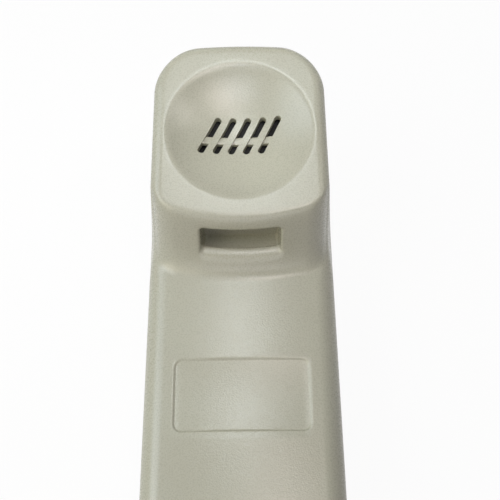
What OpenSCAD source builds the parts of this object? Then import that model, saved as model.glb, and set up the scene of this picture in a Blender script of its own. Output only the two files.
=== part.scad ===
// Corded telephone handset lying on its back, ear and mouth side up.
// Y runs along the grip with the ear end at +Y, Z is up, and the origin is on the table under the middle.

/* [Casing] */
// Length from end to end
body_len = 215; // [206:1:226]
// Width at the ear end, at the seam
ear_w = 50; // [49:0.5:56]
// Width at the mouth end, at the seam
mouth_w = 52; // [50:0.5:58]
// Height of the seam between the two shells
seam_h = 14; // [13:0.5:15]
// Height of the grip's middle line
grip_h = 24; // [23:0.5:26]
// Radius of the grip's crown across the hand
crown_r = 174; // [120:1:400]
// Wall thickness of both shells
wall = 2.2; // [1.9:0.1:2.5]
// Plan radius of the four corners
corner_r = 14; // [12:0.5:15]
// How far the end edges bow out
end_bow = 2; // [0.6:0.1:2.4]
// Slope of the walls away from the seam, in degrees
draft = 4.5; // [3:0.5:5.5]
// Edge radius along the grip
grip_edge_r = 5; // [4:0.1:5.6]
// Edge radius round the two end blocks
block_edge_r = 3; // [2.6:0.1:3.4]
// Width of the rounding from the sides to the back
back_round = 10; // [8:0.5:12]
// Half length of the back's level stretch
back_flat = 45; // [35:1:55]
// How far the back rises at the ends
back_rise = 4; // [2:0.5:5]

/* [Ear block] */
// Height of the ear face at the dish's centre
ear_h = 42.8; // [41:0.2:44]
// Lean of the ear face towards the mouth end, in degrees
ear_tilt = 8; // [6:0.5:10]
// Distance of the ear dish's centre from the ear end
ear_in = 28; // [27.5:0.5:29]
// Radius of the ear dish's rim
ear_dish_r = 19.5; // [18.5:0.1:19.8]
// Depth of the ear dish
ear_dish_deep = 5; // [4:0.1:5.6]
// Distance of the ear face's lower edge from the ear end
ear_edge_in = 53; // [52:0.5:55]
// How far that edge bows towards the mouth end
ear_edge_bow = 5.4; // [4:0.1:6.4]
// Rise of the ear step over its run
ear_step_rise = 2.14; // [1.8:0.02:2.5]

/* [Ear slots] */
// Number of sound slots
ear_slots = 5; // [3:2:5]
// Spacing of the slots across the dish
ear_slot_pitch = 4; // [3.4:0.1:4.4]
// Length of a slot
ear_slot_len = 11.6; // [8:0.1:12]
// Width of a slot
slot_w = 1.75; // [1.2:0.05:1.9]
// Lean of the slots, in degrees
slot_lean = 27; // [15:1:35]
// Width of the cross rib in the slots
slot_rib_w = 2.2; // [1.4:0.1:3]
// How far the cross rib lies below the dish
slot_rib_deep = 0.5; // [0.3:0.05:0.8]

/* [Mouth block] */
// Height of the mouth face at its dish's centre
mouth_h = 34; // [33:0.2:36]
// Lean of the mouth face towards the ear end, in degrees
mouth_tilt = 12; // [10:0.5:14]
// Distance of the mouth dish's centre from the mouth end
mouth_in = 26; // [25:0.5:27]
// Radius of the mouth dish's rim
mouth_dish_r = 16; // [14:0.1:16.6]
// Depth of the mouth dish
mouth_dish_deep = 3; // [2.4:0.1:3.4]
// Distance of the mouth face's inner edge from the mouth end
mouth_edge_in = 46; // [45:0.5:48]
// How far that edge bows towards the ear end
mouth_edge_bow = 5.4; // [4:0.1:6.4]
// Rise of the mouth step over its run
mouth_step_rise = 1.5; // [1.2:0.02:1.9]
// Number of sound slots
mouth_slots = 3; // [1:2:3]
// Spacing of the mouth slots across the dish
mouth_slot_pitch = 3.2; // [2.8:0.1:3.6]
// Length of a mouth slot
mouth_slot_len = 6; // [4:0.1:7]

/* [Hook pocket] */
// Width of the mouth of the pocket that takes the wall hook
hook_w = 21; // [17:0.2:22]
// Taper of the pocket's side walls, in degrees
hook_taper = 9; // [4:0.5:12]
// Height of the pocket's sill over the table
hook_floor = 28.4; // [27.8:0.1:29]
// Height of the pocket's mouth over its sill
hook_tall = 7.1; // [6:0.1:8]
// Radius of the edge that leads in over the sill
hook_edge_r = 1.8; // [1:0.1:2.2]
// Width of the sill's level crest
hook_sill = 1; // [0.6:0.1:1.6]
// Depth of the pocket's bed behind the sill
hook_dip = 2.4; // [1:0.1:2.6]
// Distance of the pocket's back wall from the ear end
hook_back_in = 50.6; // [50.3:0.1:51]

/* [Label panel] */
// Width of the sunk panel on the grip
label_w = 34; // [24:0.5:36]
// Length of the sunk panel
label_l = 18.4; // [12:0.2:24]
// Distance of the panel's middle from the ear end
label_in = 94.2; // [89:0.5:111]
// Corner radius of the panel
label_r = 2; // [1:0.2:4]
// Depth of the panel
label_deep = 0.4; // [0.2:0.05:0.5]

/* [Receiver] */
// Radius of the receiver
rx_r = 17; // [15:0.1:17.4]
// Height of the receiver's frame
rx_h = 5; // [4.4:0.1:6]
// Radius of the magnet
rx_magnet_r = 6; // [4.5:0.1:6.6]
// Thickness of the magnet
rx_magnet_t = 2.4; // [2:0.1:3]
// Thickness of the steel yoke and of the pole plate
rx_steel_t = 1; // [0.8:0.1:1.3]
// Width of the gap that the voice coil moves in
rx_gap = 1.1; // [1:0.05:1.4]
// Thickness of the foam gasket
rx_gasket_t = 1.2; // [0.8:0.1:2]
// Side of the square foam pad behind the receiver
rx_pad_w = 14; // [10:0.5:15]

/* [Microphone] */
// Radius of the microphone capsule
mic_r = 4.85; // [4.5:0.05:4.9]
// Height of the microphone capsule
mic_h = 5.2; // [4.6:0.1:5.6]
// Thickness of the rubber boot round the capsule
mic_boot_t = 1.5; // [1.2:0.1:1.7]
// Side of the square foam pad behind the boot
mic_pad_w = 9; // [8:0.5:10]

/* [Jack] */
// Outside width of the cord jack
jack_w = 11.4; // [11:0.1:12]
// Outside height of the cord jack
jack_h = 9.4; // [9.2:0.1:9.8]
// Length of the cord jack
jack_len = 11; // [10.6:0.1:11.4]
// Height of the jack's underside
jack_z = 15.8; // [15.6:0.1:16]
// Width of the socket in the jack
socket_w = 7.8; // [7.7:0.05:8]
// Height of the socket in the jack
socket_h = 6.6; // [6.5:0.05:6.8]
// Number of spring contacts
contacts = 4; // [2:2:4]
// Spacing of the contacts
contact_pitch = 1.02; // [1:0.01:1.27]

/* [Ballast and screws] */
// Length of the steel ballast plate
ballast_l = 62; // [50:1:80]
// Width of the ballast plate
ballast_w = 24; // [18:0.5:28]
// Thickness of the ballast plate
ballast_t = 3.2; // [2:0.1:3.6]
// Core radius of the self tapping screws
screw_r = 1.2; // [1:0.05:1.4]
// Head radius of the screws
head_r = 2.4; // [2.2:0.05:2.6]
// Height of the screw heads
head_h = 1.6; // [1.3:0.1:1.8]
// Length of the casing screws under the head
screw_len = 12; // [10:0.5:13]
// Length of the ballast screws under the head
ballast_screw_len = 7; // [6:0.1:7.6]
// Distance of the casing screws from the sides
screw_side = 9.5; // [9:0.1:10]
// Distance of the casing screws from the mouth end
screw_in = 11; // [10.6:0.1:11.5]
// Radius of one internal lead
lead_r = 0.45; // [0.35:0.05:0.48]

/* [Hidden] */

$fn = 64;
fit = 0.15;          // play between a piece and the seat that locates it
thread_fit = 0.05;   // play between a screw's core and its pilot hole
shaft_fit = 0.25;    // play between a screw's shank and the hole it passes through
solder = 0.3;        // room for the solder between a lead's end and its lug or pin
root = 0.6;          // how far a moulded rib is rooted into the wall that carries it
rib_t = 1.4;         // thickness of the moulded ribs
side_band = 1;       // upright band of the rear shell under the seam
lip_h = 1.2;         // height of the tongue on the rear shell's rim
lip_in = 1.1;        // distance of that tongue from the outside
seam_v = 0.2;        // chamfer on both rims, which makes the seam's groove
cloth_t = 0.4;       // thickness of the sound cloths
pad_t = 4;           // thickness of the foam pads
step_blend = 2.6;    // softness of a face's edge over its step
foot_blend = 8;      // softness of a step's foot
edge_round = 6;      // plan radius of a face's edge at the two sides
big = 300;           // larger than anything in the part

end_y = body_len / 2;
corner_y = end_y - end_bow - corner_r;
ear_y = end_y - ear_in;
mouth_y = mouth_in - end_y;
ear_edge_y = end_y - ear_edge_in;
mouth_edge_y = mouth_edge_in - end_y;
label_y = end_y - label_in;
hook_back = end_y - hook_back_in;
screw_x = mouth_w / 2 - screw_side;
screw_y = screw_in - end_y;

// Half width of the casing at the seam
function half_w(y) = (ear_w + mouth_w) / 4 + (ear_w - mouth_w) / 4 * y / end_y;

// Smooth lesser and smooth greater of two heights, and a smooth step from 0 to 1
function soft_min(a, b, k) = min(a, b) - pow(max(k - abs(a - b), 0), 2) / (4 * k);
function soft_max(a, b, k) = max(a, b) + pow(max(k - abs(a - b), 0), 2) / (4 * k);
function smooth(t) = let (c = min(max(t, 0), 1)) c * c * (3 - 2 * c);

// Inner edge of a face over x, measured from the edge's place on the middle line
function edge_curve(x, w, bow) =
    let (over = min(max(abs(x) - w / 2 + 2 + edge_round, 0), edge_round * 0.98))
    bow * pow(2 * x / w, 2) + edge_round - sqrt(edge_round * edge_round - over * over);

// Height of an end block: a leaning face, cut off by a step wall, both set in by a wall's thickness.
// v grows towards the block's own end.
function block_z(x, v, middle, h, lean, edge, w, bow, rise, inset) =
    let (
        at = edge + edge_curve(x, w, bow),
        face = h + (v - middle) * tan(lean) - inset / cos(lean),
        step = h + (at - middle) * tan(lean) + (v - at) * rise - inset * sqrt(1 + rise * rise)
    )
    soft_min(face, step, step_blend);

// Height of the ear and mouth side over the table, or of the face that lies inset below it
function top_z(x, y, inset) =
    let (
        grip = grip_h - crown_r + sqrt(crown_r * crown_r - x * x) - inset,
        ear = block_z(x, y, ear_y, ear_h, ear_tilt, ear_edge_y, ear_w, ear_edge_bow,
                      ear_step_rise, inset),
        mouth = block_z(x, -y, -mouth_y, mouth_h, mouth_tilt, -mouth_edge_y, mouth_w,
                        mouth_edge_bow, mouth_step_rise, inset)
    )
    soft_max(soft_max(grip, ear, foot_blend), mouth, foot_blend);

// Height of the back over the table
function back_z(y) = back_rise * pow(max(abs(y) - back_flat, 0) / (end_y - back_flat), 2);

// Edge radius, which is smaller round the end blocks than along the grip
function edge_r(y) =
    let (block = max(smooth((y - ear_edge_y + 10) / 10), smooth((mouth_edge_y + 10 - y) / 10)))
    grip_edge_r + (block_edge_r - grip_edge_r) * block;

// Stations along the front shell's sides, close together on the two steps
corner_steps = 4;
end_steps = 4;
step_pitch = 1.5;
mouth_foot = mouth_edge_y - 6 + 12 * step_pitch;
ear_foot = ear_edge_y - 12;
ear_brow = ear_foot + 13 * step_pitch;
front_ys = [
    for (t = [1:3]) -corner_y + t * (mouth_edge_y - 6 + corner_y) / 4,
    for (t = [0:12]) mouth_edge_y - 6 + t * step_pitch,
    for (t = [1:9]) mouth_foot + t * (ear_foot - mouth_foot) / 10,
    for (t = [0:13]) ear_foot + t * step_pitch,
    for (t = [1:3]) ear_brow + t * (corner_y - ear_brow) / 4
];
rear_ys = [
    for (t = [1:4]) -corner_y + t * (corner_y - back_flat) / 5,
    for (t = [0:3]) -back_flat + t * back_flat * 2 / 3,
    for (t = [1:4]) back_flat + t * (corner_y - back_flat) / 5
];

// A plan point with its outward direction, [x, y, along x, along y]: on a corner at angle a, and on
// the bowed end at x. sy is 1 at the ear end and -1 at the mouth end.
function bow_y(x, w) = corner_y + corner_r + end_bow * (1 - x * x / (w * w));
function corner_pt(sy, a) =
    let (w = half_w(sy * corner_y), x = w - corner_r + corner_r * cos(a))
    [x, sy * (bow_y(x, w) - corner_r * (1 - sin(a))), cos(a), sy * sin(a)];
function end_pt(sy, x) = [x, sy * bow_y(x, half_w(sy * corner_y)), 0, sy];
function flip_x(p) = [-p[0], p[1], -p[2], p[3]];
function end_pts(sy) =
    let (x0 = half_w(sy * corner_y) - corner_r)
    [
        for (t = [0:corner_steps]) corner_pt(sy, 45 + 45 * t / corner_steps),
        for (t = [1:2 * end_steps - 1]) end_pt(sy, x0 * (1 - t / end_steps)),
        for (t = [corner_steps:-1:0]) flip_x(corner_pt(sy, 45 + 45 * t / corner_steps))
    ];
columns = 2 * corner_steps + 2 * end_steps + 1;

// The whole outline, anticlockwise from the mouth end's right corner
function right_pts(ys) = [
    for (t = [corner_steps - 1:-1:0]) corner_pt(-1, 45 * t / corner_steps),
    for (y = ys) [half_w(y), y, 1, 0],
    for (t = [0:corner_steps - 1]) corner_pt(1, 45 * t / corner_steps)
];
function outline(ys) =
    let (right = right_pts(ys), far = end_pts(1), near = end_pts(-1), n = len(right))
    [
        near[0],
        each right,
        each far,
        for (k = [n - 1:-1:0]) flip_x(right[k]),
        for (k = [columns - 1:-1:1]) near[k]
    ];

// A ring of points at one inset and height all round, or following a surface's rounded edge
function level_ring(line, inset, z) = [for (p = line) [p[0] - p[2] * inset, p[1] - p[3] * inset, z]];
function lean_in(p, inset, r) =
    (top_z(p[0] - p[2] * (r + 4), p[1] - p[3] * (r + 4), inset) - r - seam_h) * tan(draft);
function front_round(p, inset) = edge_r(p[1]) - inset * 0.8;
function front_ring(line, inset, phi) = [
    for (p = line)
        let (
            r = front_round(p, inset),
            d = inset + lean_in(p, inset, r) + r * (1 - cos(phi)),
            x = p[0] - p[2] * d,
            y = p[1] - p[3] * d
        )
        [x, y, top_z(x, y, inset) - r * (1 - sin(phi))]
];
function rear_ring(line, inset, phi) = [
    for (p = line)
        let (
            d = inset + (back_round - inset) * (1 - cos(phi)),
            x = p[0] - p[2] * d,
            y = p[1] - p[3] * d,
            foot = back_z(y) + inset,
            band = seam_h - side_band
        )
        [x, y, band - (band - foot) * sin(phi)]
];

// The field of points inside a ring, in rows from the mouth end to the ear end
function field(ring, rows, height) =
    let (
        n = rows - 2,
        size = len(ring),
        far = 1 + n,
        near_row = [for (j = [0:columns - 1]) j == columns - 1 ? ring[0] : ring[size - columns + 1 + j]],
        far_row = [for (j = [0:columns - 1]) ring[far + columns - 1 - j]],
        near_y = ring[corner_steps][1],
        far_y = ring[rows - 1 - corner_steps][1]
    )
    [
        each near_row,
        for (i = [1:n])
            let (
                edge = ring[i],
                row = edge[1] > 0 ? far_row : near_row,
                out = row[columns - 1],
                start = edge[1] > 0 ? far_y : near_y,
                s = min(max((edge[1] - start) / (out[1] - start), 0), 1)
            )
            for (j = [0:columns - 1])
                let (x = edge[0] * row[j][0] / out[0], y = edge[1] + s * (row[j][1] - out[1]))
                [x, y, j == 0 || j == columns - 1 ? edge[2] : height(x, y)],
        each far_row
    ];
function field_faces(rows, base) = [
    for (i = [0:rows - 2])
        for (j = [0:columns - 2])
            let (a = base + i * columns + j, b = a + columns)
            each [[a, b, b + 1], [a, b + 1, a + 1]]
];
function field_edge(rows, base) = [
    for (i = [0:rows - 1]) base + i * columns + columns - 1,
    for (j = [columns - 2:-1:0]) base + (rows - 1) * columns + j,
    for (i = [rows - 2:-1:0]) base + i * columns,
    for (j = [1:columns - 2]) base + j
];
function band_faces(a, b) =
    let (n = len(a))
    [for (t = [0:n - 1]) let (u = (t + 1) % n) each [[a[t], b[u], b[t]], [a[t], a[u], b[u]]]];
function flipped(faces) = [for (f = faces) [f[2], f[1], f[0]]];

// A closed shell: an outer field, rings that lead over the rim, and an inner field
module skin(rings, rows, outer, inner, upside) {
    last = len(rings) - 1;
    size = len(rings[0]);
    area = rows * columns;
    between = [for (k = [1:last - 1]) each rings[k]];
    points = concat(field(rings[0], rows, outer), between, field(rings[last], rows, inner));
    base = area + (last - 1) * size;
    edges = [
        field_edge(rows, 0),
        for (k = [1:last - 1]) [for (t = [0:size - 1]) area + (k - 1) * size + t],
        field_edge(rows, base)
    ];
    faces = concat(
        field_faces(rows, 0),
        [for (k = [0:last - 1]) each band_faces(edges[k], edges[k + 1])],
        flipped(field_faces(rows, base))
    );
    polyhedron(points, upside ? faces : flipped(faces), convexity = 8);
}

module front_skin() {
    line = outline(front_ys);
    rings = [
        for (phi = [90, 67.5, 45, 22.5, 0]) front_ring(line, 0, phi),
        level_ring(line, 0, seam_h + seam_v),
        level_ring(line, seam_v, seam_h),
        level_ring(line, lip_in - fit, seam_h),
        level_ring(line, lip_in - fit, seam_h + lip_h + fit),
        level_ring(line, wall, seam_h + lip_h + fit),
        for (phi = [0, 45, 90]) front_ring(line, wall, phi)
    ];
    skin(rings, len(right_pts(front_ys)) + 2, function (x, y) top_z(x, y, 0),
         function (x, y) top_z(x, y, wall), true);
}

module rear_skin() {
    line = outline(rear_ys);
    rings = [
        for (phi = [90, 72, 54, 36, 18, 0]) rear_ring(line, 0, phi),
        level_ring(line, 0, seam_h - seam_v),
        level_ring(line, seam_v, seam_h),
        level_ring(line, lip_in, seam_h),
        level_ring(line, lip_in, seam_h + lip_h),
        level_ring(line, wall, seam_h + lip_h),
        for (phi = [0, 30, 60, 90]) rear_ring(line, wall, phi)
    ];
    skin(rings, len(right_pts(rear_ys)) + 2, function (x, y) back_z(y),
         function (x, y) back_z(y) + wall, false);
}

// Frames at the two dishes: z leaves the face, and z = 0 is the face at the dish's centre
module at_ear() { translate([0, ear_y, ear_h]) rotate([ear_tilt, 0, 0]) children(); }
module at_mouth() { translate([0, mouth_y, mouth_h]) rotate([-mouth_tilt, 0, 0]) children(); }

// Levels below the ear face
function cap_r(r, deep) = (r * r + deep * deep) / (2 * deep);
ear_cap = cap_r(ear_dish_r, ear_dish_deep);
mouth_cap = cap_r(mouth_dish_r, mouth_dish_deep);
rx_seat = -ear_dish_deep - wall - 0.2;
rx_cloth_z = rx_seat - cloth_t;
rx_top = rx_cloth_z - rx_gasket_t;
rx_back = rx_top - rx_h;
rx_rim = 1.3;
rx_floor = 1;
rx_ledge = rx_top - 1.05;
diaphragm_t = 0.25;
yoke_h = 2 * rx_steel_t + rx_magnet_t;
yoke_r = rx_magnet_r + rx_gap + rx_steel_t;
yoke_z = rx_back - 0.6;
coil_t = 0.4;
coil_r = rx_magnet_r + rx_gap / 2;
rx_pad_z = yoke_z - pad_t;
ring_t = 1.4;
cloth_r = rx_r - 0.6;
board_w = 10;
board_l = 5;
board_t = 1;
board_y = -yoke_r - board_l / 2 - 0.8;
lug_x = 3;
lug_r = 0.7;
lug_h = 1;

// Levels below the mouth face
mic_seat = -mouth_dish_deep - wall - 0.6;
mic_top = mic_seat - cloth_t;
mic_back = mic_top - mic_h;
boot_floor = 1.4;
boot_back = mic_back - boot_floor;
boot_r = mic_r + mic_boot_t;
mic_board_r = 3;
mic_board_t = 0.8;
mic_lug_x = 1.2;
mic_pad_z = boot_back - pad_t;

// Jack, ballast and screws
jack_front = -end_y + 1.3;
jack_back = jack_front + jack_len;
collar_t = 1.5;
collar_out = 0.9;
collar_y = -end_y + wall + (jack_z + jack_h + collar_out - seam_h) * tan(draft) + 2 * fit;
guide_y0 = collar_y + collar_t + fit;
guide_y1 = jack_back - 0.5;
guide_y = (guide_y0 + guide_y1) / 2;
mouth_roof = top_z(0, guide_y, wall) + root;
screw_roof = top_z(screw_x, screw_y, wall) + root;
pin_out = 1.6;
wire_t = 0.45;
wire_z = jack_z + (jack_h - socket_h) / 2 + 0.05;
ballast_z = 6;
ballast_hole_y = ballast_l / 2 - 6;
boss_r = 3.2;
well_r = head_r + 0.3;
seat_z = seam_h - 6;
tab_x = 9;
tab_w = 7;
tab_top = seam_h + 5;
tab_t = 1.3;
tab_nose = 1.1;
tab_y = end_y - end_bow - wall - tab_t + 0.1;

// A slot or a rounded plate, flat on z = 0 and centred
module slot_2d(len, w) {
    square([w, len - w], center = true);
    for (s = [-1, 1])
        translate([0, s * (len - w) / 2]) circle(d = w);
}
module plate_2d(w, l, r) {
    square([w - 2 * r, l], center = true);
    square([w, l - 2 * r], center = true);
    for (x = [-1, 1], y = [-1, 1])
        translate([x * (w / 2 - r), y * (l / 2 - r)]) circle(r);
}
module tube(r, bore, z0, z1) {
    translate([0, 0, z0])
        difference() {
            cylinder(r = r, h = z1 - z0);
            translate([0, 0, -1]) cylinder(r = bore, h = z1 - z0 + 2);
        }
}

// The wall behind a dish, and the cuts that make the dish and its slots
module dish_back(cap, deep, r) {
    intersection() {
        translate([0, 0, cap - deep]) sphere(r = cap + wall, $fn = 128);
        translate([0, 0, -20]) cylinder(r = r + 1, h = 20 - wall / 2);
    }
}
module dish_cuts(cap, deep, slots, pitch, len) {
    translate([0, 0, cap - deep]) sphere(r = cap, $fn = 128);
    for (i = [0:slots - 1])
        translate([(i - (slots - 1) / 2) * pitch, 0, 0]) {
            difference() {
                translate([0, 0, -deep - 12])
                    linear_extrude(12 + deep) rotate(-slot_lean) slot_2d(len, slot_w);
                translate([0, -slot_rib_w / 2, -deep / 2 - 12])
                    cube([big, slot_rib_w, 24 + deep], center = true);
            }
            intersection() {
                translate([0, 0, -deep - 2])
                    linear_extrude(deep + 2) rotate(-slot_lean) slot_2d(len, slot_w);
                translate([0, 0, cap - deep]) sphere(r = cap + slot_rib_deep, $fn = 128);
            }
        }
}

// Step wall of the ear block on the middle line
step_top = ear_h + (ear_edge_y - ear_y) * tan(ear_tilt);
function step_y(z) = ear_edge_y - (step_top - z) / ear_step_rise;
hook_top = hook_floor + hook_tall;

// Pocket walls end inside the step wall. The cut leads in over a rounded edge and a level sill to a
// deeper bed, and narrows towards its back.
module hook_walls() {
    low = hook_floor - hook_dip - wall;
    high = hook_top + wall * 0.7;
    sunk = wall * 0.6;
    rotate([90, 0, 90])
        linear_extrude(hook_w + 2 * wall, center = true)
            polygon([
                [step_y(low) + sunk, low], [hook_back + wall, low],
                [hook_back + wall, high], [step_y(high) + sunk, high]
            ]);
}
function skin_y(z) =
    step_y(grip_h + sqrt(4 * foot_blend * (z - grip_h)) - foot_blend);
module hook_cut() {
    turn = 55;
    brow = hook_floor - hook_edge_r * (1 - cos(turn));
    edge_y = skin_y(brow) + hook_edge_r * sin(turn);
    open_y = skin_y(brow) - 6;
    bed_y = edge_y + hook_sill;
    mouth_x = hook_w / 2;
    back_x = mouth_x - (hook_back - edge_y) * tan(hook_taper);
    intersection() {
        rotate([90, 0, 90])
            linear_extrude(2 * hook_w, center = true)
                polygon([
                    [hook_back, hook_floor - hook_dip], [hook_back, hook_top], [open_y, hook_top],
                    [open_y, brow],
                    for (a = [turn:-11:0])
                        [edge_y - hook_edge_r * sin(a), hook_floor - hook_edge_r * (1 - cos(a))],
                    [bed_y, hook_floor], [bed_y, hook_floor - hook_dip]
                ]);
        linear_extrude(big)
            polygon([
                [-mouth_x, open_y - 1], [mouth_x, open_y - 1], [mouth_x, edge_y], [back_x, hook_back + 1],
                [-back_x, hook_back + 1], [-mouth_x, edge_y]
            ]);
    }
}

module label_cut() {
    difference() {
        translate([0, label_y, grip_h - 4])
            linear_extrude(8) plate_2d(label_w, label_l, label_r);
        translate([0, label_y, grip_h - crown_r])
            rotate([90, 0, 0])
                cylinder(r = crown_r - label_deep, h = label_l + 2, center = true, $fn = 256);
    }
}

// Front shell: the ear and mouth side, with its dishes, hook pocket and inner seats
module front_shell() {
    jack_x = jack_w / 2 + fit;
    jack_top = jack_z + jack_h + fit;
    recess = tab_nose + 0.3;
    color("#d8d6c8")
        difference() {
            union() {
                front_skin();
                at_ear() {
                    dish_back(ear_cap, ear_dish_deep, ear_dish_r);
                    tube(rx_r + fit + ring_t, rx_r + fit, rx_top - 2, -3.2);
                    tube(rx_r - 1, rx_r - 1 - ring_t, rx_seat, -4);
                }
                at_mouth() {
                    dish_back(mouth_cap, mouth_dish_deep, mouth_dish_r);
                    tube(boot_r + fit + ring_t, boot_r + fit, boot_back + 1, -4);
                    tube(boot_r + fit + ring_t / 2, boot_r - ring_t, mic_seat, -4);
                }
                hook_walls();
                for (s = [-1, 1]) {
                    translate([s * screw_x, screw_y, seam_h])
                        cylinder(r = boss_r, h = screw_roof - seam_h);
                    translate([s * (jack_x + rib_t / 2), guide_y, (jack_z + mouth_roof) / 2])
                        cube([rib_t, guide_y1 - guide_y0, mouth_roof - jack_z], center = true);
                }
                translate([0, guide_y, (jack_top + mouth_roof) / 2])
                    cube([jack_w, rib_t, mouth_roof - jack_top], center = true);
            }
            at_ear() dish_cuts(ear_cap, ear_dish_deep, ear_slots, ear_slot_pitch, ear_slot_len);
            at_mouth()
                dish_cuts(mouth_cap, mouth_dish_deep, mouth_slots, mouth_slot_pitch, mouth_slot_len);
            hook_cut();
            label_cut();
            translate([0, -end_y, jack_z + jack_h / 2])
                cube([2 * jack_x, 12, jack_h + 2 * fit], center = true);
            for (s = [-1, 1]) {
                translate([s * screw_x, screw_y, seam_h - 1])
                    cylinder(r = screw_r + thread_fit, h = screw_len - seam_h + seat_z + 2);
                translate([s * tab_x, tab_y + tab_t + recess / 2, tab_top - tab_t / 2])
                    cube([tab_w + 1, recess, tab_t + 0.8], center = true);
            }
        }
}

// A cross of two upright ribs that carries a pad
module post(y, w) {
    base = back_z(y) + wall / 2;
    translate([0, y, base + 20]) {
        cube([w, rib_t, 40], center = true);
        cube([rib_t, w, 40], center = true);
    }
}
module above(z) { translate([-big / 2, -big / 2, z]) cube(big); }

// Rear shell: the back, with the tongue on its rim, the screw wells, posts, bosses and tabs
module rear_shell() {
    foot = back_z(screw_y) + wall - 0.1;
    bed = back_z(guide_y1) + wall - 0.1;
    rx_post_y = ear_y - rx_pad_z * sin(ear_tilt);
    mic_post_y = mouth_y + mic_pad_z * sin(mouth_tilt);
    color("#cfcdbf")
        difference() {
            union() {
                rear_skin();
                difference() {
                    post(rx_post_y, rx_pad_w);
                    at_ear() above(rx_pad_z);
                }
                difference() {
                    post(mic_post_y, mic_pad_w);
                    at_mouth() above(mic_pad_z);
                }
                for (s = [-1, 1]) {
                    translate([0, s * ballast_hole_y, wall / 2])
                        cylinder(r = boss_r, h = ballast_z - wall / 2);
                    translate([0, s * ballast_l / 5, (ballast_z + wall / 2) / 2])
                        cube([ballast_w, rib_t, ballast_z - wall / 2], center = true);
                    translate([s * screw_x, screw_y, foot])
                        cylinder(r = well_r + rib_t, h = seam_h - foot);
                    translate([s * (jack_w / 2 - rib_t), guide_y, (bed + jack_z) / 2])
                        cube([rib_t, guide_y1 - guide_y0, jack_z - bed], center = true);
                    translate([s * tab_x, 0, 0]) tab();
                }
            }
            for (s = [-1, 1]) {
                translate([s * screw_x, screw_y, -1]) cylinder(r = well_r, h = seat_z + 1);
                translate([s * screw_x, screw_y, 0]) cylinder(r = screw_r + shaft_fit, h = seam_h + 1);
                translate([0, s * ballast_hole_y, ballast_z + ballast_t - ballast_screw_len - 0.4])
                    cylinder(r = screw_r + thread_fit, h = ballast_screw_len);
            }
        }
}

// A springy tab on the rear shell, whose nose snaps into a recess in the front shell's end wall
module tab() {
    low = seam_h - 6;
    rotate([90, 0, 90])
        linear_extrude(tab_w, center = true)
            polygon([
                [tab_y, low], [end_y - end_bow - wall / 2, low], [end_y - end_bow - wall / 2, seam_h - 1],
                [tab_y + tab_t, seam_h - 1], [tab_y + tab_t, tab_top - tab_t],
                [tab_y + tab_t + tab_nose, tab_top - tab_t], [tab_y + tab_t, tab_top], [tab_y, tab_top]
            ]);
}

// Receiver, from the dish towards the back
module receiver_cloth() {
    color("#2b2b2a")
        at_ear() translate([0, 0, rx_cloth_z]) cylinder(r = cloth_r, h = cloth_t);
}
module receiver_gasket() {
    color("#3a3a3c") at_ear() tube(rx_r - 0.4, rx_r - 3.6, rx_top, rx_cloth_z);
}
module receiver_frame() {
    vents = 8;
    color("#4a4b4e")
        at_ear()
            difference() {
                translate([0, 0, rx_back]) cylinder(r = rx_r, h = rx_h);
                translate([0, 0, rx_ledge]) cylinder(r = rx_r - rx_rim, h = big);
                translate([0, 0, rx_back + rx_floor]) cylinder(r = rx_r - 2 * rx_rim, h = big);
                translate([0, 0, rx_back - 1]) cylinder(r = yoke_r + thread_fit, h = big);
                for (k = [0:vents - 1])
                    rotate((k + 0.5) * 360 / vents)
                        translate([(rx_r + yoke_r) / 2 - rx_rim / 2, 0, rx_back - 1]) cylinder(r = 1, h = 4);
            }
}
module receiver_diaphragm() {
    rim = rx_r - rx_rim - 0.1;
    dome = 1;
    roll = 0.5;
    span = rim - 0.7 - coil_r - coil_t;
    top = [for (k = [0:6]) let (r = (coil_r - 0.2) * k / 6) [r, dome * (1 - pow(k / 6, 2))]];
    wave = [for (k = [0:6]) [coil_r + coil_t + span * k / 6, roll * sin(30 * k)]];
    line = concat(top, wave, [[rim, 0]]);
    n = len(line);
    color("#b9b8ae")
        at_ear()
            translate([0, 0, rx_ledge])
                rotate_extrude()
                    polygon(concat(
                        [for (p = line) [p[0], p[1] + diaphragm_t]],
                        [for (k = [n - 1:-1:0]) line[k]]
                    ));
}
module voice_coil() {
    color("#a8552c")
        at_ear() tube(coil_r + coil_t / 2, coil_r - coil_t / 2, yoke_z + rx_steel_t + 0.8, rx_ledge);
}
module pole_plate() {
    color("#9a9ca0")
        at_ear()
            translate([0, 0, yoke_z + rx_steel_t + rx_magnet_t]) cylinder(r = rx_magnet_r, h = rx_steel_t);
}
module receiver_magnet() {
    color("#5b5d60")
        at_ear() translate([0, 0, yoke_z + rx_steel_t]) cylinder(r = rx_magnet_r - 0.2, h = rx_magnet_t);
}
module receiver_yoke() {
    color("#8f9194")
        at_ear()
            translate([0, 0, yoke_z])
                difference() {
                    cylinder(r = yoke_r, h = yoke_h);
                    translate([0, 0, rx_steel_t]) cylinder(r = rx_magnet_r + rx_gap, h = yoke_h);
                }
}
module receiver_terminals() {
    color("#7a5a2e")
        at_ear()
            translate([0, board_y, rx_back - board_t]) {
                translate([-board_w / 2, -board_l / 2, 0]) cube([board_w, board_l, board_t]);
                for (s = [-1, 1])
                    translate([s * lug_x, 0, -lug_h]) cylinder(r = lug_r, h = lug_h + 0.2);
            }
}
module receiver_pad() {
    color("#4d4f55")
        at_ear()
            translate([-rx_pad_w / 2, -rx_pad_w / 2, rx_pad_z]) cube([rx_pad_w, rx_pad_w, pad_t]);
}

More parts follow.
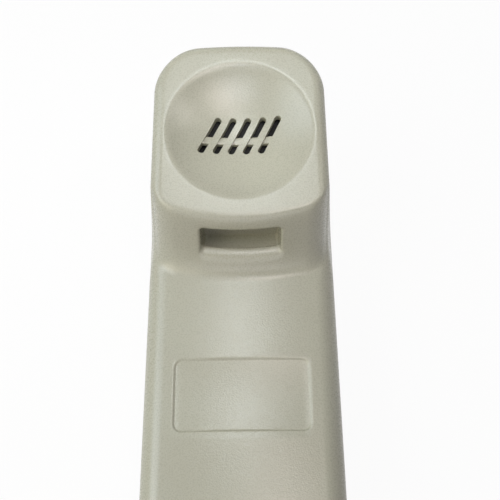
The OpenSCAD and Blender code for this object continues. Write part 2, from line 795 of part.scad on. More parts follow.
// Microphone, from the dish towards the back
module microphone_cloth() {
    color("#2b2b2a") at_mouth() translate([0, 0, mic_top]) cylinder(r = boot_r, h = cloth_t);
}
module microphone_boot() {
    color("#26272a")
        at_mouth()
            difference() {
                translate([0, 0, boot_back]) cylinder(r = boot_r, h = mic_top - boot_back);
                translate([0, 0, mic_back]) cylinder(r = mic_r + thread_fit, h = big);
                translate([0, 0, boot_back - 1]) cylinder(r = mic_board_r + fit, h = big);
            }
}
module microphone_capsule() {
    color("#b4b6b8")
        at_mouth()
            difference() {
                translate([0, 0, mic_back]) cylinder(r = mic_r, h = mic_h);
                translate([0, 0, mic_top - 0.3]) cylinder(r = mic_r - 0.8, h = 1);
                for (k = [0:4])
                    rotate(k * 72) translate([1.6, 0, mic_top - 1.3]) cylinder(r = 0.4, h = 2);
            }
}
module microphone_board() {
    color("#7a5a2e")
        at_mouth()
            translate([0, 0, mic_back - mic_board_t]) {
                cylinder(r = mic_board_r, h = mic_board_t);
                for (s = [-1, 1])
                    translate([s * mic_lug_x, 0, -lug_h / 2]) cylinder(r = lug_r, h = lug_h / 2 + 0.2);
            }
}
module microphone_pad() {
    color("#4d4f55")
        at_mouth()
            translate([0, 0, mic_pad_z])
                difference() {
                    translate([-mic_pad_w / 2, -mic_pad_w / 2, 0]) cube([mic_pad_w, mic_pad_w, pad_t]);
                    translate([-mic_board_r, -mic_pad_w, -1])
                        cube([2 * mic_board_r, mic_pad_w + mic_board_r / 2, pad_t + 2]);
                }
}

// Cord jack in the mouth end's wall, with its spring contacts
module jack_housing() {
    back_t = 2.4;
    key_w = 3;
    key_h = 1;
    color("#d2cfbf")
        translate([0, jack_front, jack_z])
            difference() {
                union() {
                    translate([-jack_w / 2, 0, 0]) cube([jack_w, jack_len, jack_h]);
                    translate([-jack_w / 2 - collar_out, collar_y - jack_front, 0])
                        cube([jack_w + 2 * collar_out, collar_t, jack_h + collar_out]);
                }
                translate([-socket_w / 2, -1, (jack_h - socket_h) / 2])
                    cube([socket_w, jack_len - back_t + 1, socket_h]);
                translate([-key_w / 2, -1, jack_h / 2])
                    cube([key_w, jack_len - back_t + 1, socket_h / 2 + key_h]);
                for (k = [0:contacts - 1])
                    translate([pin_x(k), 0, wire_z - jack_z + wire_t / 2])
                        cube([wire_t + 0.1, 4 * jack_len, wire_t + 0.1], center = true);
            }
}
function pin_x(k) = (k - (contacts - 1) / 2) * contact_pitch;
module jack_contacts() {
    front = jack_front + 1.6;
    reach = 4.5;
    rise = 1.6;
    color("#c9a24a")
        for (k = [0:contacts - 1])
            translate([pin_x(k), 0, wire_z])
                rotate([90, 0, 90])
                    linear_extrude(wire_t, center = true)
                        polygon([
                            [front, 0], [jack_back + pin_out, 0], [jack_back + pin_out, wire_t],
                            [front + 1.4, wire_t], [front + reach, rise], [front + reach - 0.4, rise + 0.4]
                        ]);
}

// Steel ballast on two bosses of the rear shell, and the self tapping screws
module ballast_plate() {
    color("#9b9da1")
        difference() {
            translate([0, 0, ballast_z]) linear_extrude(ballast_t) plate_2d(ballast_w, ballast_l, 3);
            for (s = [-1, 1])
                translate([0, s * ballast_hole_y, 0]) cylinder(r = screw_r + shaft_fit, h = big);
        }
}
module screw(len) {
    tip = 1.6;
    difference() {
        union() {
            rotate_extrude()
                polygon([
                    [0, 0], [head_r, 0], [head_r, head_h * 0.55], [head_r * 0.8, head_h * 0.9],
                    [head_r * 0.55, head_h], [0, head_h]
                ]);
            translate([0, 0, tip - len]) cylinder(r = screw_r, h = len - tip + 0.2);
            translate([0, 0, -len]) cylinder(r1 = 0.3, r2 = screw_r, h = tip);
        }
        for (a = [0, 90])
            rotate(a) translate([0, 0, head_h]) cube([head_r * 1.25, 0.6, 1.8], center = true);
    }
}
module ballast_screws() {
    color("#a9abae")
        for (s = [-1, 1])
            translate([0, s * ballast_hole_y, ballast_z + ballast_t]) screw(ballast_screw_len);
}
module casing_screws() {
    color("#a9abae")
        for (s = [-1, 1])
            translate([s * screw_x, screw_y, seat_z]) rotate([180, 0, 0]) screw(screw_len);
}

// A lead is a tube along a smooth line through its points
function between(a, b, c, d, t) =
    0.5 * (2 * b + (c - a) * t + (2 * a - 5 * b + 4 * c - d) * t * t + (3 * b - a - 3 * c + d) * t * t * t);
function soft_line(p, steps) =
    let (n = len(p) - 1)
    [
        for (i = [0:n - 1], s = [0:steps - 1])
            between(p[max(i - 1, 0)], p[i], p[i + 1], p[min(i + 2, n)], s / steps),
        p[n]
    ];
function unit(v) = v / norm(v);
module lead(route, steps) {
    sides = 8;
    line = soft_line(route, steps);
    n = len(line);
    points = [
        for (i = [0:n - 1])
            let (
                t = unit(line[min(i + 1, n - 1)] - line[max(i - 1, 0)]),
                u = unit(cross(t, [1, 0, 0])),
                v = cross(t, u)
            )
            for (k = [0:sides - 1])
                let (a = (k + 0.5) * 360 / sides) line[i] + lead_r * (cos(a) * u + sin(a) * v)
    ];
    polyhedron(
        points,
        [
            for (i = [0:n - 2], k = [0:sides - 1])
                let (a = i * sides + k, b = i * sides + (k + 1) % sides)
                each [[a, b, b + sides], [a, b + sides, a + sides]],
            for (k = [1:sides - 2]) [0, k + 1, k],
            for (k = [1:sides - 2]) [(n - 1) * sides, (n - 1) * sides + k, (n - 1) * sides + k + 1]
        ],
        convexity = 6
    );
}
function ear_point(x, y, z) = [
    x, ear_y + y * cos(ear_tilt) - z * sin(ear_tilt), ear_h + y * sin(ear_tilt) + z * cos(ear_tilt)
];
function mouth_point(x, y, z) = [
    x, mouth_y + y * cos(mouth_tilt) + z * sin(mouth_tilt),
    mouth_h - y * sin(mouth_tilt) + z * cos(mouth_tilt)
];
function pin_point(k) = [pin_x(k), jack_back + pin_out + solder, wire_z + wire_t / 2];

// Both pairs lie in the casing: the receiver's over the ballast to the inner pins, the microphone's
// through the pad's open side to the outer pins
over_ballast = ballast_z + ballast_t + 0.8;
past_ballast = ballast_l / 2 + 3;
receiver_way = [
    [3, ear_y - 11, 22], [4, ear_y - 16, 17], [5, ear_y - 26, 12], [5, past_ballast, over_ballast],
    [5, 0, over_ballast - 0.2], [5, -past_ballast, over_ballast], [7, mouth_y + 21, 9],
    [9, mouth_y + 3, 10], [6, jack_back + 5.7, 12.5], [1.2, jack_back + 2.7, 16.4]
];
microphone_way = [[1.3, jack_back + 10.7, 19.6], [1.5, jack_back + 6.7, 19], [1.5, jack_back + 3.7, 18]];
function sided(way, s) = [for (p = way) [s * p[0], p[1], p[2]]];
module receiver_lead(s) {
    lug = ear_point(s * lug_x, board_y, rx_back - board_t - lug_h - solder);
    lead(concat([lug], sided(receiver_way, s), [pin_point(s > 0 ? contacts / 2 : contacts / 2 - 1)]), 2);
}
module microphone_lead(s) {
    lug = mouth_point(s * mic_lug_x, 0, mic_back - mic_board_t - lug_h / 2 - solder);
    lead(concat([lug], sided(microphone_way, s), [pin_point(s > 0 ? contacts - 1 : 0)]), 3);
}
module receiver_lead_red() { color("#a3241f") receiver_lead(1); }
module receiver_lead_green() { color("#2f6b3a") receiver_lead(-1); }
module microphone_lead_black() { color("#232323") microphone_lead(1); }
module microphone_lead_yellow() { color("#c9a42b") microphone_lead(-1); }

front_shell();
rear_shell();
receiver_cloth();
receiver_gasket();
receiver_frame();
receiver_diaphragm();
voice_coil();
pole_plate();
receiver_magnet();
receiver_yoke();
receiver_terminals();
receiver_pad();
microphone_cloth();
microphone_boot();
microphone_capsule();
microphone_board();
microphone_pad();
jack_housing();
jack_contacts();
ballast_plate();
ballast_screws();
casing_screws();
receiver_lead_red();
receiver_lead_green();
microphone_lead_black();
microphone_lead_yellow();
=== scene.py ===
import math

import bmesh
import bpy
import numpy as np
from mathutils import Matrix, Vector
from mathutils.bvhtree import BVHTree


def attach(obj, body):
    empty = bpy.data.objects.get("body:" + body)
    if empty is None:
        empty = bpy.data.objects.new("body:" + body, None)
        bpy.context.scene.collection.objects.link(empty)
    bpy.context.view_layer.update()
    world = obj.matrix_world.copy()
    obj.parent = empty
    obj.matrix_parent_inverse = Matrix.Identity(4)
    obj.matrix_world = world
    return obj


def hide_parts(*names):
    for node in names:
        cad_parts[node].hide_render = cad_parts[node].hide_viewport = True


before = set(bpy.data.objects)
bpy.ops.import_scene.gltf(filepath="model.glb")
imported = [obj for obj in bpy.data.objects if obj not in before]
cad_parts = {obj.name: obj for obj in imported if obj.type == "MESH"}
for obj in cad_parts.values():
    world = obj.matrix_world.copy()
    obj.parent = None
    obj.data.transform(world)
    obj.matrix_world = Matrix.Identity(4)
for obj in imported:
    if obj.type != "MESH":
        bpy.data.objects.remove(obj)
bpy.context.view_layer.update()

# Rear shell
# The back of the handset: one moulding with a level stretch to lie on, ends that lift a little,
# and a tongue round its rim that enters the front shell. The screws come in through two wells.
# Both shells are moulded from one ivory plastic. The tool's spark-eroded skin leaves a fine even
# grain that breaks the highlights into specks.


class Varying:
    """A number that changes over a surface, for writing shader sums as plain expressions."""

    def __init__(self, finish, socket):
        self.finish = finish
        self.socket = socket

    def sum(self, operation, first, second):
        node = self.finish.node("ShaderNodeMath", {"operation": operation}, {0: first, 1: second})
        return Varying(self.finish, node.outputs[0])

    def __add__(self, other):
        return self.sum("ADD", self, other)

    def __radd__(self, other):
        return self.sum("ADD", other, self)

    def __sub__(self, other):
        return self.sum("SUBTRACT", self, other)

    def __rsub__(self, other):
        return self.sum("SUBTRACT", other, self)

    def __mul__(self, other):
        return self.sum("MULTIPLY", self, other)

    def __rmul__(self, other):
        return self.sum("MULTIPLY", other, self)

    def __pow__(self, other):
        return self.sum("POWER", self, other)

    def above(self, level, soft):
        node = self.finish.node("ShaderNodeMapRange", {"interpolation_type": "SMOOTHSTEP"},
                                {0: self, 1: level - soft, 2: level + soft})
        return Varying(self.finish, node.outputs[0])


class Nodes:
    """A node tree that takes each node as its type, its settings, and its sockets' values or links."""

    def __init__(self, tree):
        self.tree = tree

    def node(self, kind, settings=None, values=None):
        node = self.tree.nodes.new(kind)
        for name, value in (settings or {}).items():
            setattr(node, name, value)
        for name, value in (values or {}).items():
            for each in value if isinstance(value, list) else [value]:
                self.feed(node.inputs[name], each)
        return node

    def feed(self, socket, value):
        if isinstance(value, Varying):
            self.tree.links.new(value.socket, socket)
        elif isinstance(value, bpy.types.NodeSocket):
            self.tree.links.new(value, socket)
        else:
            socket.default_value = value


class Finish(Nodes):
    """One material, whose surface nodes hang on a Principled shader."""

    def __init__(self, name, color, roughness, metallic=0.0, ior=1.5):
        self.material = bpy.data.materials.new(name)
        self.material.use_nodes = True
        super().__init__(self.material.node_tree)
        self.surface = self.tree.nodes["Principled BSDF"]
        self.set("Base Color", (*color, 1.0))
        self.set("Roughness", roughness)
        self.set("Metallic", metallic)
        self.set("IOR", ior)
        self.place = self.node("ShaderNodeTexCoord").outputs["Object"]
        self.height = None

    def set(self, name, value):
        self.feed(self.surface.inputs[name], value)

    def stretched(self, scale):
        return self.node("ShaderNodeMapping", None, {"Vector": self.place, "Scale": scale}).outputs[0]

    def noise(self, scale, detail=2.0, roughness=0.5, place=None):
        node = self.node("ShaderNodeTexNoise", None, {
            "Vector": place or self.place, "Scale": scale, "Detail": detail, "Roughness": roughness})
        return Varying(self, node.outputs[0])

    def cells(self, scale, feature="F1", place=None):
        node = self.node("ShaderNodeTexVoronoi", {"feature": feature},
                         {"Vector": place or self.place, "Scale": scale})
        return Varying(self, node.outputs["Distance"])

    def axis(self, index):
        node = self.node("ShaderNodeSeparateXYZ", None, {0: self.place})
        return Varying(self, node.outputs[index])

    def wave(self, value, per_metre):
        node = self.node("ShaderNodeMath", {"operation": "SINE"}, {0: value * (per_metre * math.tau)})
        return Varying(self, node.outputs[0])

    def blend(self, amount, first, second):
        node = self.node("ShaderNodeMix", {"data_type": "RGBA"},
                         {0: amount, 6: (*first, 1.0), 7: (*second, 1.0)})
        return node.outputs[2]

    def bump(self, height, distance, strength=1.0):
        values = {"Height": height, "Distance": distance, "Strength": strength}
        if self.height is not None:
            values["Normal"] = self.height
        node = self.node("ShaderNodeBump", None, values)
        self.height = node.outputs[0]
        self.set("Normal", self.height)


def casing_plastic():
    ivory = (0.412, 0.408, 0.324)
    warm = (0.392, 0.380, 0.298)
    plastic = Finish("casing_plastic", ivory, 0.32)
    drift = plastic.noise(28.0, 3.0)
    plastic.set("Base Color", plastic.blend(drift.above(0.5, 0.22), ivory, warm))
    grain = plastic.noise(2600.0, 2.0, 0.6)
    plastic.bump(grain, 0.00004, 1.0)
    plastic.set("Roughness", 0.20 + 0.16 * grain)
    plastic.set("Specular IOR Level", 0.7)
    return plastic.material


CASING = casing_plastic()
MM = 0.001
BODY_LEN = 215.0
EAR_W = 50.0
MOUTH_W = 52.0
SEAM_H = 14.0
WALL = 2.2
CORNER_R = 14.0
END_BOW = 2.0
BACK_ROUND = 10.0
BACK_FLAT = 45.0
BACK_RISE = 4.0
SIDE_BAND = 1.0
LIP_H = 1.2
LIP_IN = 1.1
SEAM_V = 0.25
FIT = 0.15
END_Y = BODY_LEN / 2
CORNER_Y = END_Y - END_BOW - CORNER_R


def half_w(y):
    return (EAR_W + MOUTH_W) / 4 + (EAR_W - MOUTH_W) / 4 * y / END_Y


def bow_y(x, w):
    return CORNER_Y + CORNER_R + END_BOW * (1 - x * x / (w * w))


def corner_point(end, angle):
    w = half_w(end * CORNER_Y)
    a = math.radians(angle)
    x = w - CORNER_R + CORNER_R * math.cos(a)
    return (x, end * (bow_y(x, w) - CORNER_R * (1 - math.sin(a))), math.cos(a), end * math.sin(a))


def end_points(end, corner_steps, end_steps):
    w = half_w(end * CORNER_Y)
    x0 = w - CORNER_R
    corner = [corner_point(end, 45 + 45 * t / corner_steps) for t in range(corner_steps + 1)]
    bowed = [x0 * (1 - t / end_steps) for t in range(1, 2 * end_steps)]
    middle = [(x, end * bow_y(x, w), 0.0, float(end)) for x in bowed]
    return corner + middle + [(-p[0], p[1], -p[2], p[3]) for p in reversed(corner)]


class Outline:
    """The casing's plan outline at the seam, anticlockwise from the mouth end's right corner."""

    def __init__(self, side_ys, corner_steps, end_steps):
        near = end_points(-1, corner_steps, end_steps)
        far = end_points(1, corner_steps, end_steps)
        right = [corner_point(-1, 45 * t / corner_steps) for t in reversed(range(corner_steps))]
        right += [(half_w(y), y, 1.0, 0.0) for y in side_ys]
        right += [corner_point(1, 45 * t / corner_steps) for t in range(corner_steps)]
        left = [(-p[0], p[1], -p[2], p[3]) for p in reversed(right)]
        loop = np.array([near[0]] + right + far + left + near[:0:-1])
        self.x, self.y, self.nx, self.ny = loop.T
        self.columns = len(far)
        self.rows = len(right) + 2
        self.corner_steps = corner_steps

    def level(self, inset, z):
        return np.stack([self.x - self.nx * inset, self.y - self.ny * inset,
                         np.full(len(self.x), float(z))], 1)

    def field(self, ring, height):
        """Points inside a ring, in rows from the mouth end to the ear end."""
        count = self.columns
        near = np.vstack([ring[len(ring) - count + 1:], ring[:1]])
        far = ring[self.rows - 1:self.rows - 1 + count][::-1]
        near_y = ring[self.corner_steps][1]
        far_y = ring[self.rows - 1 - self.corner_steps][1]
        rows = [near]
        for edge in ring[1:self.rows - 1]:
            row, start = (far, far_y) if edge[1] > 0 else (near, near_y)
            out = row[-1]
            share = min(max((edge[1] - start) / (out[1] - start), 0.0), 1.0)
            x = edge[0] * row[:, 0] / out[0]
            y = edge[1] + share * (row[:, 1] - out[1])
            z = height(x, y)
            z[0] = z[-1] = edge[2]
            rows.append(np.stack([x, y, z], 1))
        rows.append(far)
        return np.vstack(rows)

    def field_faces(self, base):
        a = base + np.arange(self.rows * self.columns).reshape(self.rows, self.columns)
        return np.stack([a[:-1, :-1], a[:-1, 1:], a[1:, 1:], a[1:, :-1]], -1).reshape(-1, 4)

    def field_edge(self, base):
        a = base + np.arange(self.rows * self.columns).reshape(self.rows, self.columns)
        return np.concatenate([a[:, -1], a[-1, -2::-1], a[-2::-1, 0], a[0, 1:-1]])

    def skin(self, rings, outer, inner, upside):
        """A closed wall: an outer field, rings that lead over the rim, and an inner field."""
        area = self.rows * self.columns
        size = len(self.x)
        points = [self.field(rings[0], outer)] + rings[1:-1] + [self.field(rings[-1], inner)]
        base = area + (len(rings) - 2) * size
        edges = [self.field_edge(0)]
        edges += [area + k * size + np.arange(size) for k in range(len(rings) - 2)]
        edges += [self.field_edge(base)]
        bands = [np.stack([a, b, np.roll(b, -1), np.roll(a, -1)], 1) for a, b in zip(edges, edges[1:])]
        faces = np.vstack([self.field_faces(0)] + bands + [self.field_faces(base)[:, ::-1]])
        return np.vstack(points), faces if upside else faces[:, ::-1]


def make_piece(name, points, faces, material):
    mesh = bpy.data.meshes.new(name)
    mesh.from_pydata((np.asarray(points) * MM).tolist(), [], np.asarray(faces).tolist()
                     if isinstance(faces, np.ndarray) else faces)
    mesh.validate()
    mesh.materials.append(material)
    piece = bpy.data.objects.new(name, mesh)
    bpy.context.scene.collection.objects.link(piece)
    return piece


def settle(piece):
    """Turns a piece and its modifiers into a plain mesh."""
    mesh = bpy.data.meshes.new_from_object(piece.evaluated_get(bpy.context.evaluated_depsgraph_get()))
    piece.modifiers.clear()
    old = piece.data
    piece.data = mesh
    bpy.data.meshes.remove(old)
    return piece


def combine(piece, tool, operation):
    """Cuts a tool from a piece, or joins it on, and uses the tool up."""
    change = piece.modifiers.new("change", "BOOLEAN")
    change.operation = operation
    change.solver = "MANIFOLD"
    change.object = tool
    settle(piece)
    bpy.data.objects.remove(tool)
    return piece


def smooth_by_angle(piece, degrees):
    piece.data.shade_smooth()
    piece.data.set_sharp_from_angle(angle=math.radians(degrees))


class Solids:
    """Plain solids gathered into one mesh, in millimetres, that cut or join a moulding."""

    def __init__(self):
        self.mesh = bmesh.new()

    def box(self, low, high):
        size = [b - a for a, b in zip(low, high)]
        middle = [(a + b) / 2 for a, b in zip(low, high)]
        place = Matrix.Translation(middle) @ Matrix.Diagonal((*size, 1))
        bmesh.ops.create_cube(self.mesh, size=1, matrix=place)

    def turned(self, profile, steps=96, place=Matrix()):
        """Turns a closed outline of radii and heights round the Z axis."""
        turn = [(math.cos(k * math.tau / steps), math.sin(k * math.tau / steps)) for k in range(steps)]
        rings = []
        for r, z in profile:
            if r < 1e-6:
                rings.append([self.mesh.verts.new(place @ Vector((0, 0, z)))] * steps)
            else:
                rings.append([self.mesh.verts.new(place @ Vector((r * c, r * s, z))) for c, s in turn])
        for k in range(len(rings)):
            a, b = rings[k], rings[(k + 1) % len(rings)]
            for t in range(steps):
                u = (t + 1) % steps
                corners = list(dict.fromkeys((a[t], a[u], b[u], b[t])))
                if len(corners) > 2:
                    self.mesh.faces.new(corners)

    def round(self, radius, low, high, x, y, steps=48):
        self.turned([(0, low), (radius, low), (radius, high), (0, high)], steps,
                    Matrix.Translation((x, y, 0)))

    def bar(self, profile, low, high):
        """A straight bar along X, whose section is an outline over Y and Z."""
        count = len(profile)
        self.loops([[Vector((x, y, z)) for y, z in profile] for x in (low, high)], [list(range(count))])

    def loops(self, loops, caps):
        """Skins matching loops of points, and closes both ends with the given faces."""
        count = len(loops[0])
        verts = [[self.mesh.verts.new(p) for p in loop] for loop in loops]
        for a, b in zip(verts, verts[1:]):
            for t in range(count):
                u = (t + 1) % count
                self.mesh.faces.new((a[t], a[u], b[u], b[t]))
        for face in caps:
            self.mesh.faces.new([verts[0][k] for k in face[::-1]])
            self.mesh.faces.new([verts[-1][k] for k in face])

    def piece(self, name="tool", material=None):
        bmesh.ops.recalc_face_normals(self.mesh, faces=self.mesh.faces[:])
        bmesh.ops.scale(self.mesh, vec=(MM, MM, MM), verts=self.mesh.verts[:])
        mesh = bpy.data.meshes.new(name)
        self.mesh.to_mesh(mesh)
        self.mesh.free()
        mesh.materials.append(material or CASING)
        piece = bpy.data.objects.new(name, mesh)
        bpy.context.scene.collection.objects.link(piece)
        return piece


def spread(low, high, pitch):
    return list(np.linspace(low, high, max(2, round((high - low) / pitch) + 1)))


def back_z(y):
    past = np.maximum(np.abs(y) - BACK_FLAT, 0.0) / (END_Y - BACK_FLAT)
    return BACK_RISE * past ** 2


def rear_ring(line, inset, degrees):
    phi = math.radians(degrees)
    d = inset + (BACK_ROUND - inset) * (1 - math.cos(phi))
    x = line.x - line.nx * d
    y = line.y - line.ny * d
    band = SEAM_H - SIDE_BAND
    return np.stack([x, y, band - (band - back_z(y) - inset) * math.sin(phi)], 1)


REAR_LINE = Outline(spread(-CORNER_Y, CORNER_Y, 2.5)[1:-1], 12, 10)


def rear_skin():
    line = REAR_LINE
    rings = [rear_ring(line, 0.0, phi) for phi in np.linspace(90, 0, 16)]
    rings += [line.level(0, SEAM_H - SEAM_V), line.level(SEAM_V, SEAM_H), line.level(LIP_IN, SEAM_H),
              line.level(LIP_IN, SEAM_H + LIP_H), line.level(WALL, SEAM_H + LIP_H)]
    rings += [rear_ring(line, WALL, phi) for phi in np.linspace(0, 90, 8)]
    return line.skin(rings, lambda x, y: back_z(y), lambda x, y: back_z(y) + WALL, False)


REAR_POINTS, REAR_FACES = rear_skin()
rear_shell = make_piece("rear_casing", REAR_POINTS, REAR_FACES, CASING)

# Inside it stand the posts that press the pads, the ballast's bosses and bearers, the jack's two
# plates, two springy tabs at the ear end, and the tubes round the screw wells.
EAR_Y = END_Y - 28.0
EAR_H = 42.8
EAR_TILT = math.radians(8)
MOUTH_Y = 26.0 - END_Y
MOUTH_H = 34.0
MOUTH_TILT = math.radians(12)
EAR_PAD_Z = -18.6
EAR_PAD_W = 14.0
MOUTH_PAD_Z = -16.8
MOUTH_PAD_W = 9.0
RIB_T = 1.4
BOSS_R = 3.2
BALLAST_Z = 6.0
BALLAST_HOLE_Y = 25.0
BALLAST_W = 24.0
SCREW_X = 16.5
SCREW_Y = 11.0 - END_Y
SCREW_SEAT = 8.0
WELL_R = 2.7
SHAFT_HOLE_R = 1.45
PILOT_R = 1.25
WELL_EDGE = 0.5
JACK_Z = 15.8
JACK_W = 11.4
GUIDE_Y = (-102.4, -95.7)
TAB_X = 9.0
TAB_W = 7.0
TAB_Y = 102.1


def pressed_rib(solids, low, high, plane):
    """An upright rib from the back's wall to a leaning plane."""
    (x0, y0), (x1, y1) = low, high
    corners = [(x0, y0), (x1, y0), (x1, y1), (x0, y1)]
    foot = [Vector((x, y, float(back_z(y)) + WALL / 2)) for x, y in corners]
    top = [Vector((x, y, plane(y))) for x, y in corners]
    solids.loops([foot, top], [[0, 1, 2, 3]])


def ear_plane(y):
    return EAR_H + EAR_PAD_Z / math.cos(EAR_TILT) + (y - EAR_Y) * math.tan(EAR_TILT)


def mouth_plane(y):
    return MOUTH_H + MOUTH_PAD_Z / math.cos(MOUTH_TILT) - (y - MOUTH_Y) * math.tan(MOUTH_TILT)


def add_supports(shell):
    along, across = Solids(), Solids()
    for middle, width, plane in ((EAR_Y - EAR_PAD_Z * math.sin(EAR_TILT), EAR_PAD_W, ear_plane),
                                 (MOUTH_Y + MOUTH_PAD_Z * math.sin(MOUTH_TILT), MOUTH_PAD_W, mouth_plane)):
        half, thick = width / 2, RIB_T / 2
        pressed_rib(along, (-thick, middle - half), (thick, middle + half), plane)
        pressed_rib(across, (-half, middle - thick), (half, middle + thick), plane)
    for side in (-1, 1):
        along.round(BOSS_R, WALL / 2, BALLAST_Z, 0, side * BALLAST_HOLE_Y)
        middle = side * 12.4
        along.box((-BALLAST_W / 2, middle - RIB_T / 2, WALL / 2), (BALLAST_W / 2, middle + RIB_T / 2, BALLAST_Z))
        along.round(WELL_R + RIB_T, float(back_z(SCREW_Y)) + WALL - 0.1, SEAM_H, side * SCREW_X, SCREW_Y)
        plate_x = side * (JACK_W / 2 - RIB_T)
        along.box((plate_x - RIB_T / 2, GUIDE_Y[0], float(back_z(GUIDE_Y[1])) + WALL - 0.1),
                  (plate_x + RIB_T / 2, GUIDE_Y[1], JACK_Z))
        root, back, top = END_Y - END_BOW - WALL / 2, TAB_Y + 1.3, SEAM_H + 5
        along.bar([(TAB_Y, SEAM_H - 6), (root, SEAM_H - 6), (root, SEAM_H - 1), (back, SEAM_H - 1),
                   (back, top - 1.3), (back + 1.1, top - 1.2), (back + 1.0, top - 0.9), (back, top),
                   (TAB_Y, top)], side * TAB_X - TAB_W / 2, side * TAB_X + TAB_W / 2)
    combine(shell, along.piece(), "UNION")
    combine(shell, across.piece(), "UNION")


def cut_wells(shell):
    """Two wells from the back, rounded where they meet the skin, and the holes on from their floors."""
    skin = BVHTree.FromPolygons([Vector(p) for p in REAR_POINTS], REAR_FACES.tolist())
    wells, shafts, pilots = Solids(), Solids(), Solids()
    turn = [math.radians(7.5 * k) for k in range(48)]
    for side in (-1, 1):
        x, y = side * SCREW_X, SCREW_Y
        loops = []
        for a in range(-15, 91, 15):
            lean = math.radians(max(a, 0))
            r = WELL_R + WELL_EDGE * (1 - math.sin(lean)) * (1.0 if a >= 0 else 1.05)
            sink = WELL_EDGE * (1 - math.cos(lean)) if a >= 0 else -2.0
            loop = []
            for t in turn:
                px, py = x + r * math.cos(t), y + r * math.sin(t)
                hit = skin.ray_cast(Vector((px, py, -20.0)), Vector((0, 0, 1)))[0]
                loop.append(Vector((px, py, hit.z + sink)))
            loops.append(loop)
        loops.append([Vector((x + WELL_R * math.cos(t), y + WELL_R * math.sin(t), SCREW_SEAT)) for t in turn])
        wells.loops(loops, [list(range(len(turn)))])
        shafts.round(SHAFT_HOLE_R, SCREW_SEAT - 1, SEAM_H + 1, x, y)
        pilots.round(PILOT_R, 1.8, BALLAST_Z + 2, 0, side * BALLAST_HOLE_Y)
    for holes in (wells, shafts, pilots):
        combine(shell, holes.piece(), "DIFFERENCE")


add_supports(rear_shell)
cut_wells(rear_shell)
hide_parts("rear_shell")
smooth_by_angle(rear_shell, 35)
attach(rear_shell, "root")

# Ballast plate
# A flat of mild steel that gives the handset its weight in the hand. It is blanked out with rounded
# corners and two punched holes, and lies on the rear shell's bosses and bearers.
BALLAST_L = 62.0
BALLAST_T = 3.2
BALLAST_R = 3.0
BALLAST_EDGE = 0.35


def rolled_steel():
    dull = (0.40, 0.41, 0.42)
    bright = (0.52, 0.53, 0.55)
    steel = Finish("rolled_steel", bright, 0.36, 1.0)
    streak = steel.noise(1.0, 4.0, 0.6, steel.stretched((1400.0, 60.0, 1400.0)))
    cloud = steel.noise(90.0, 3.0)
    steel.set("Base Color", steel.blend(cloud.above(0.5, 0.2), dull, bright))
    steel.set("Roughness", 0.26 + 0.12 * streak + 0.10 * cloud)
    steel.bump(streak, 0.00002, 0.5)
    return steel.material


def plate_loop(inset, z):
    points = []
    r = BALLAST_R - inset
    for sx, sy, start in ((1, 1, 0), (-1, 1, 90), (-1, -1, 180), (1, -1, 270)):
        for k in range(9):
            a = math.radians(start + 90 * k / 8)
            points.append(Vector((sx * (BALLAST_W / 2 - BALLAST_R) + r * math.cos(a),
                                  sy * (BALLAST_L / 2 - BALLAST_R) + r * math.sin(a), z)))
    return points


def ballast_plate():
    low, high, edge = BALLAST_Z, BALLAST_Z + BALLAST_T, BALLAST_EDGE
    levels = [(edge, low), (edge * 0.3, low + edge * 0.3), (0, low + edge), (0, high - edge),
              (edge * 0.3, high - edge * 0.3), (edge, high)]
    plate = Solids()
    plate.loops([plate_loop(inset, z) for inset, z in levels], [list(range(36))])
    piece = plate.piece("ballast_steel", STEEL)
    holes = Solids()
    for side in (-1, 1):
        holes.turned([(0, low - 1), (SHAFT_HOLE_R + edge, low - 1), (SHAFT_HOLE_R + edge, low),
                      (SHAFT_HOLE_R, low + edge), (SHAFT_HOLE_R, high - edge),
                      (SHAFT_HOLE_R + edge, high), (SHAFT_HOLE_R + edge, high + 1), (0, high + 1)],
                     64, Matrix.Translation((0, side * BALLAST_HOLE_Y, 0)))
    return combine(piece, holes.piece("tool", STEEL), "DIFFERENCE")


STEEL = rolled_steel()
ballast = ballast_plate()
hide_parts("ballast_plate")
smooth_by_angle(ballast, 40)
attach(ballast, "root")

# Ballast screws
# Two self tapping pan head screws hold the ballast. They are cold headed with a cross recess,
# thread rolled and zinc plated, and they cut their own way into the bosses.
SCREW_CORE = 0.98
SCREW_TIP = 1.6
THREAD_R = 1.05
THREAD_TOOTH = 0.19
THREAD_PITCH = 1.05
BALLAST_SCREW_LEN = 7.0


class Pattern(Nodes):
    """A geometry node tree with named sizes, whose result is kept as a plain piece."""

    def __init__(self, name):
        super().__init__(bpy.data.node_groups.new(name, "GeometryNodeTree"))
        face = self.tree.interface
        face.new_socket("Geometry", in_out="INPUT", socket_type="NodeSocketGeometry")
        face.new_socket("Geometry", in_out="OUTPUT", socket_type="NodeSocketGeometry")
        self.given = self.tree.nodes.new("NodeGroupInput")
        self.sizes = {}

    def size(self, name, value, kind="NodeSocketFloat"):
        socket = self.tree.interface.new_socket(name, in_out="INPUT", socket_type=kind)
        self.sizes[socket.identifier] = value
        return self.given.outputs[name]

    def piece(self, name, shape, material, points, edges=()):
        whole = self.node("GeometryNodeRealizeInstances", None, {"Geometry": shape})
        faced = self.node("GeometryNodeSetMaterial", None, {
            "Geometry": whole.outputs[0], "Material": self.size("Material", material, "NodeSocketMaterial")})
        self.node("NodeGroupOutput", None, {"Geometry": faced.outputs[0]})
        base = bpy.data.meshes.new(name)
        base.from_pydata((np.asarray(points, float) * MM).tolist(), list(edges), [])
        piece = bpy.data.objects.new(name, base)
        bpy.context.scene.collection.objects.link(piece)
        change = piece.modifiers.new("pattern", "NODES")
        change.node_group = self.tree
        for identifier, value in self.sizes.items():
            change[identifier] = value
        settle(piece)
        bpy.data.node_groups.remove(self.tree)
        return piece


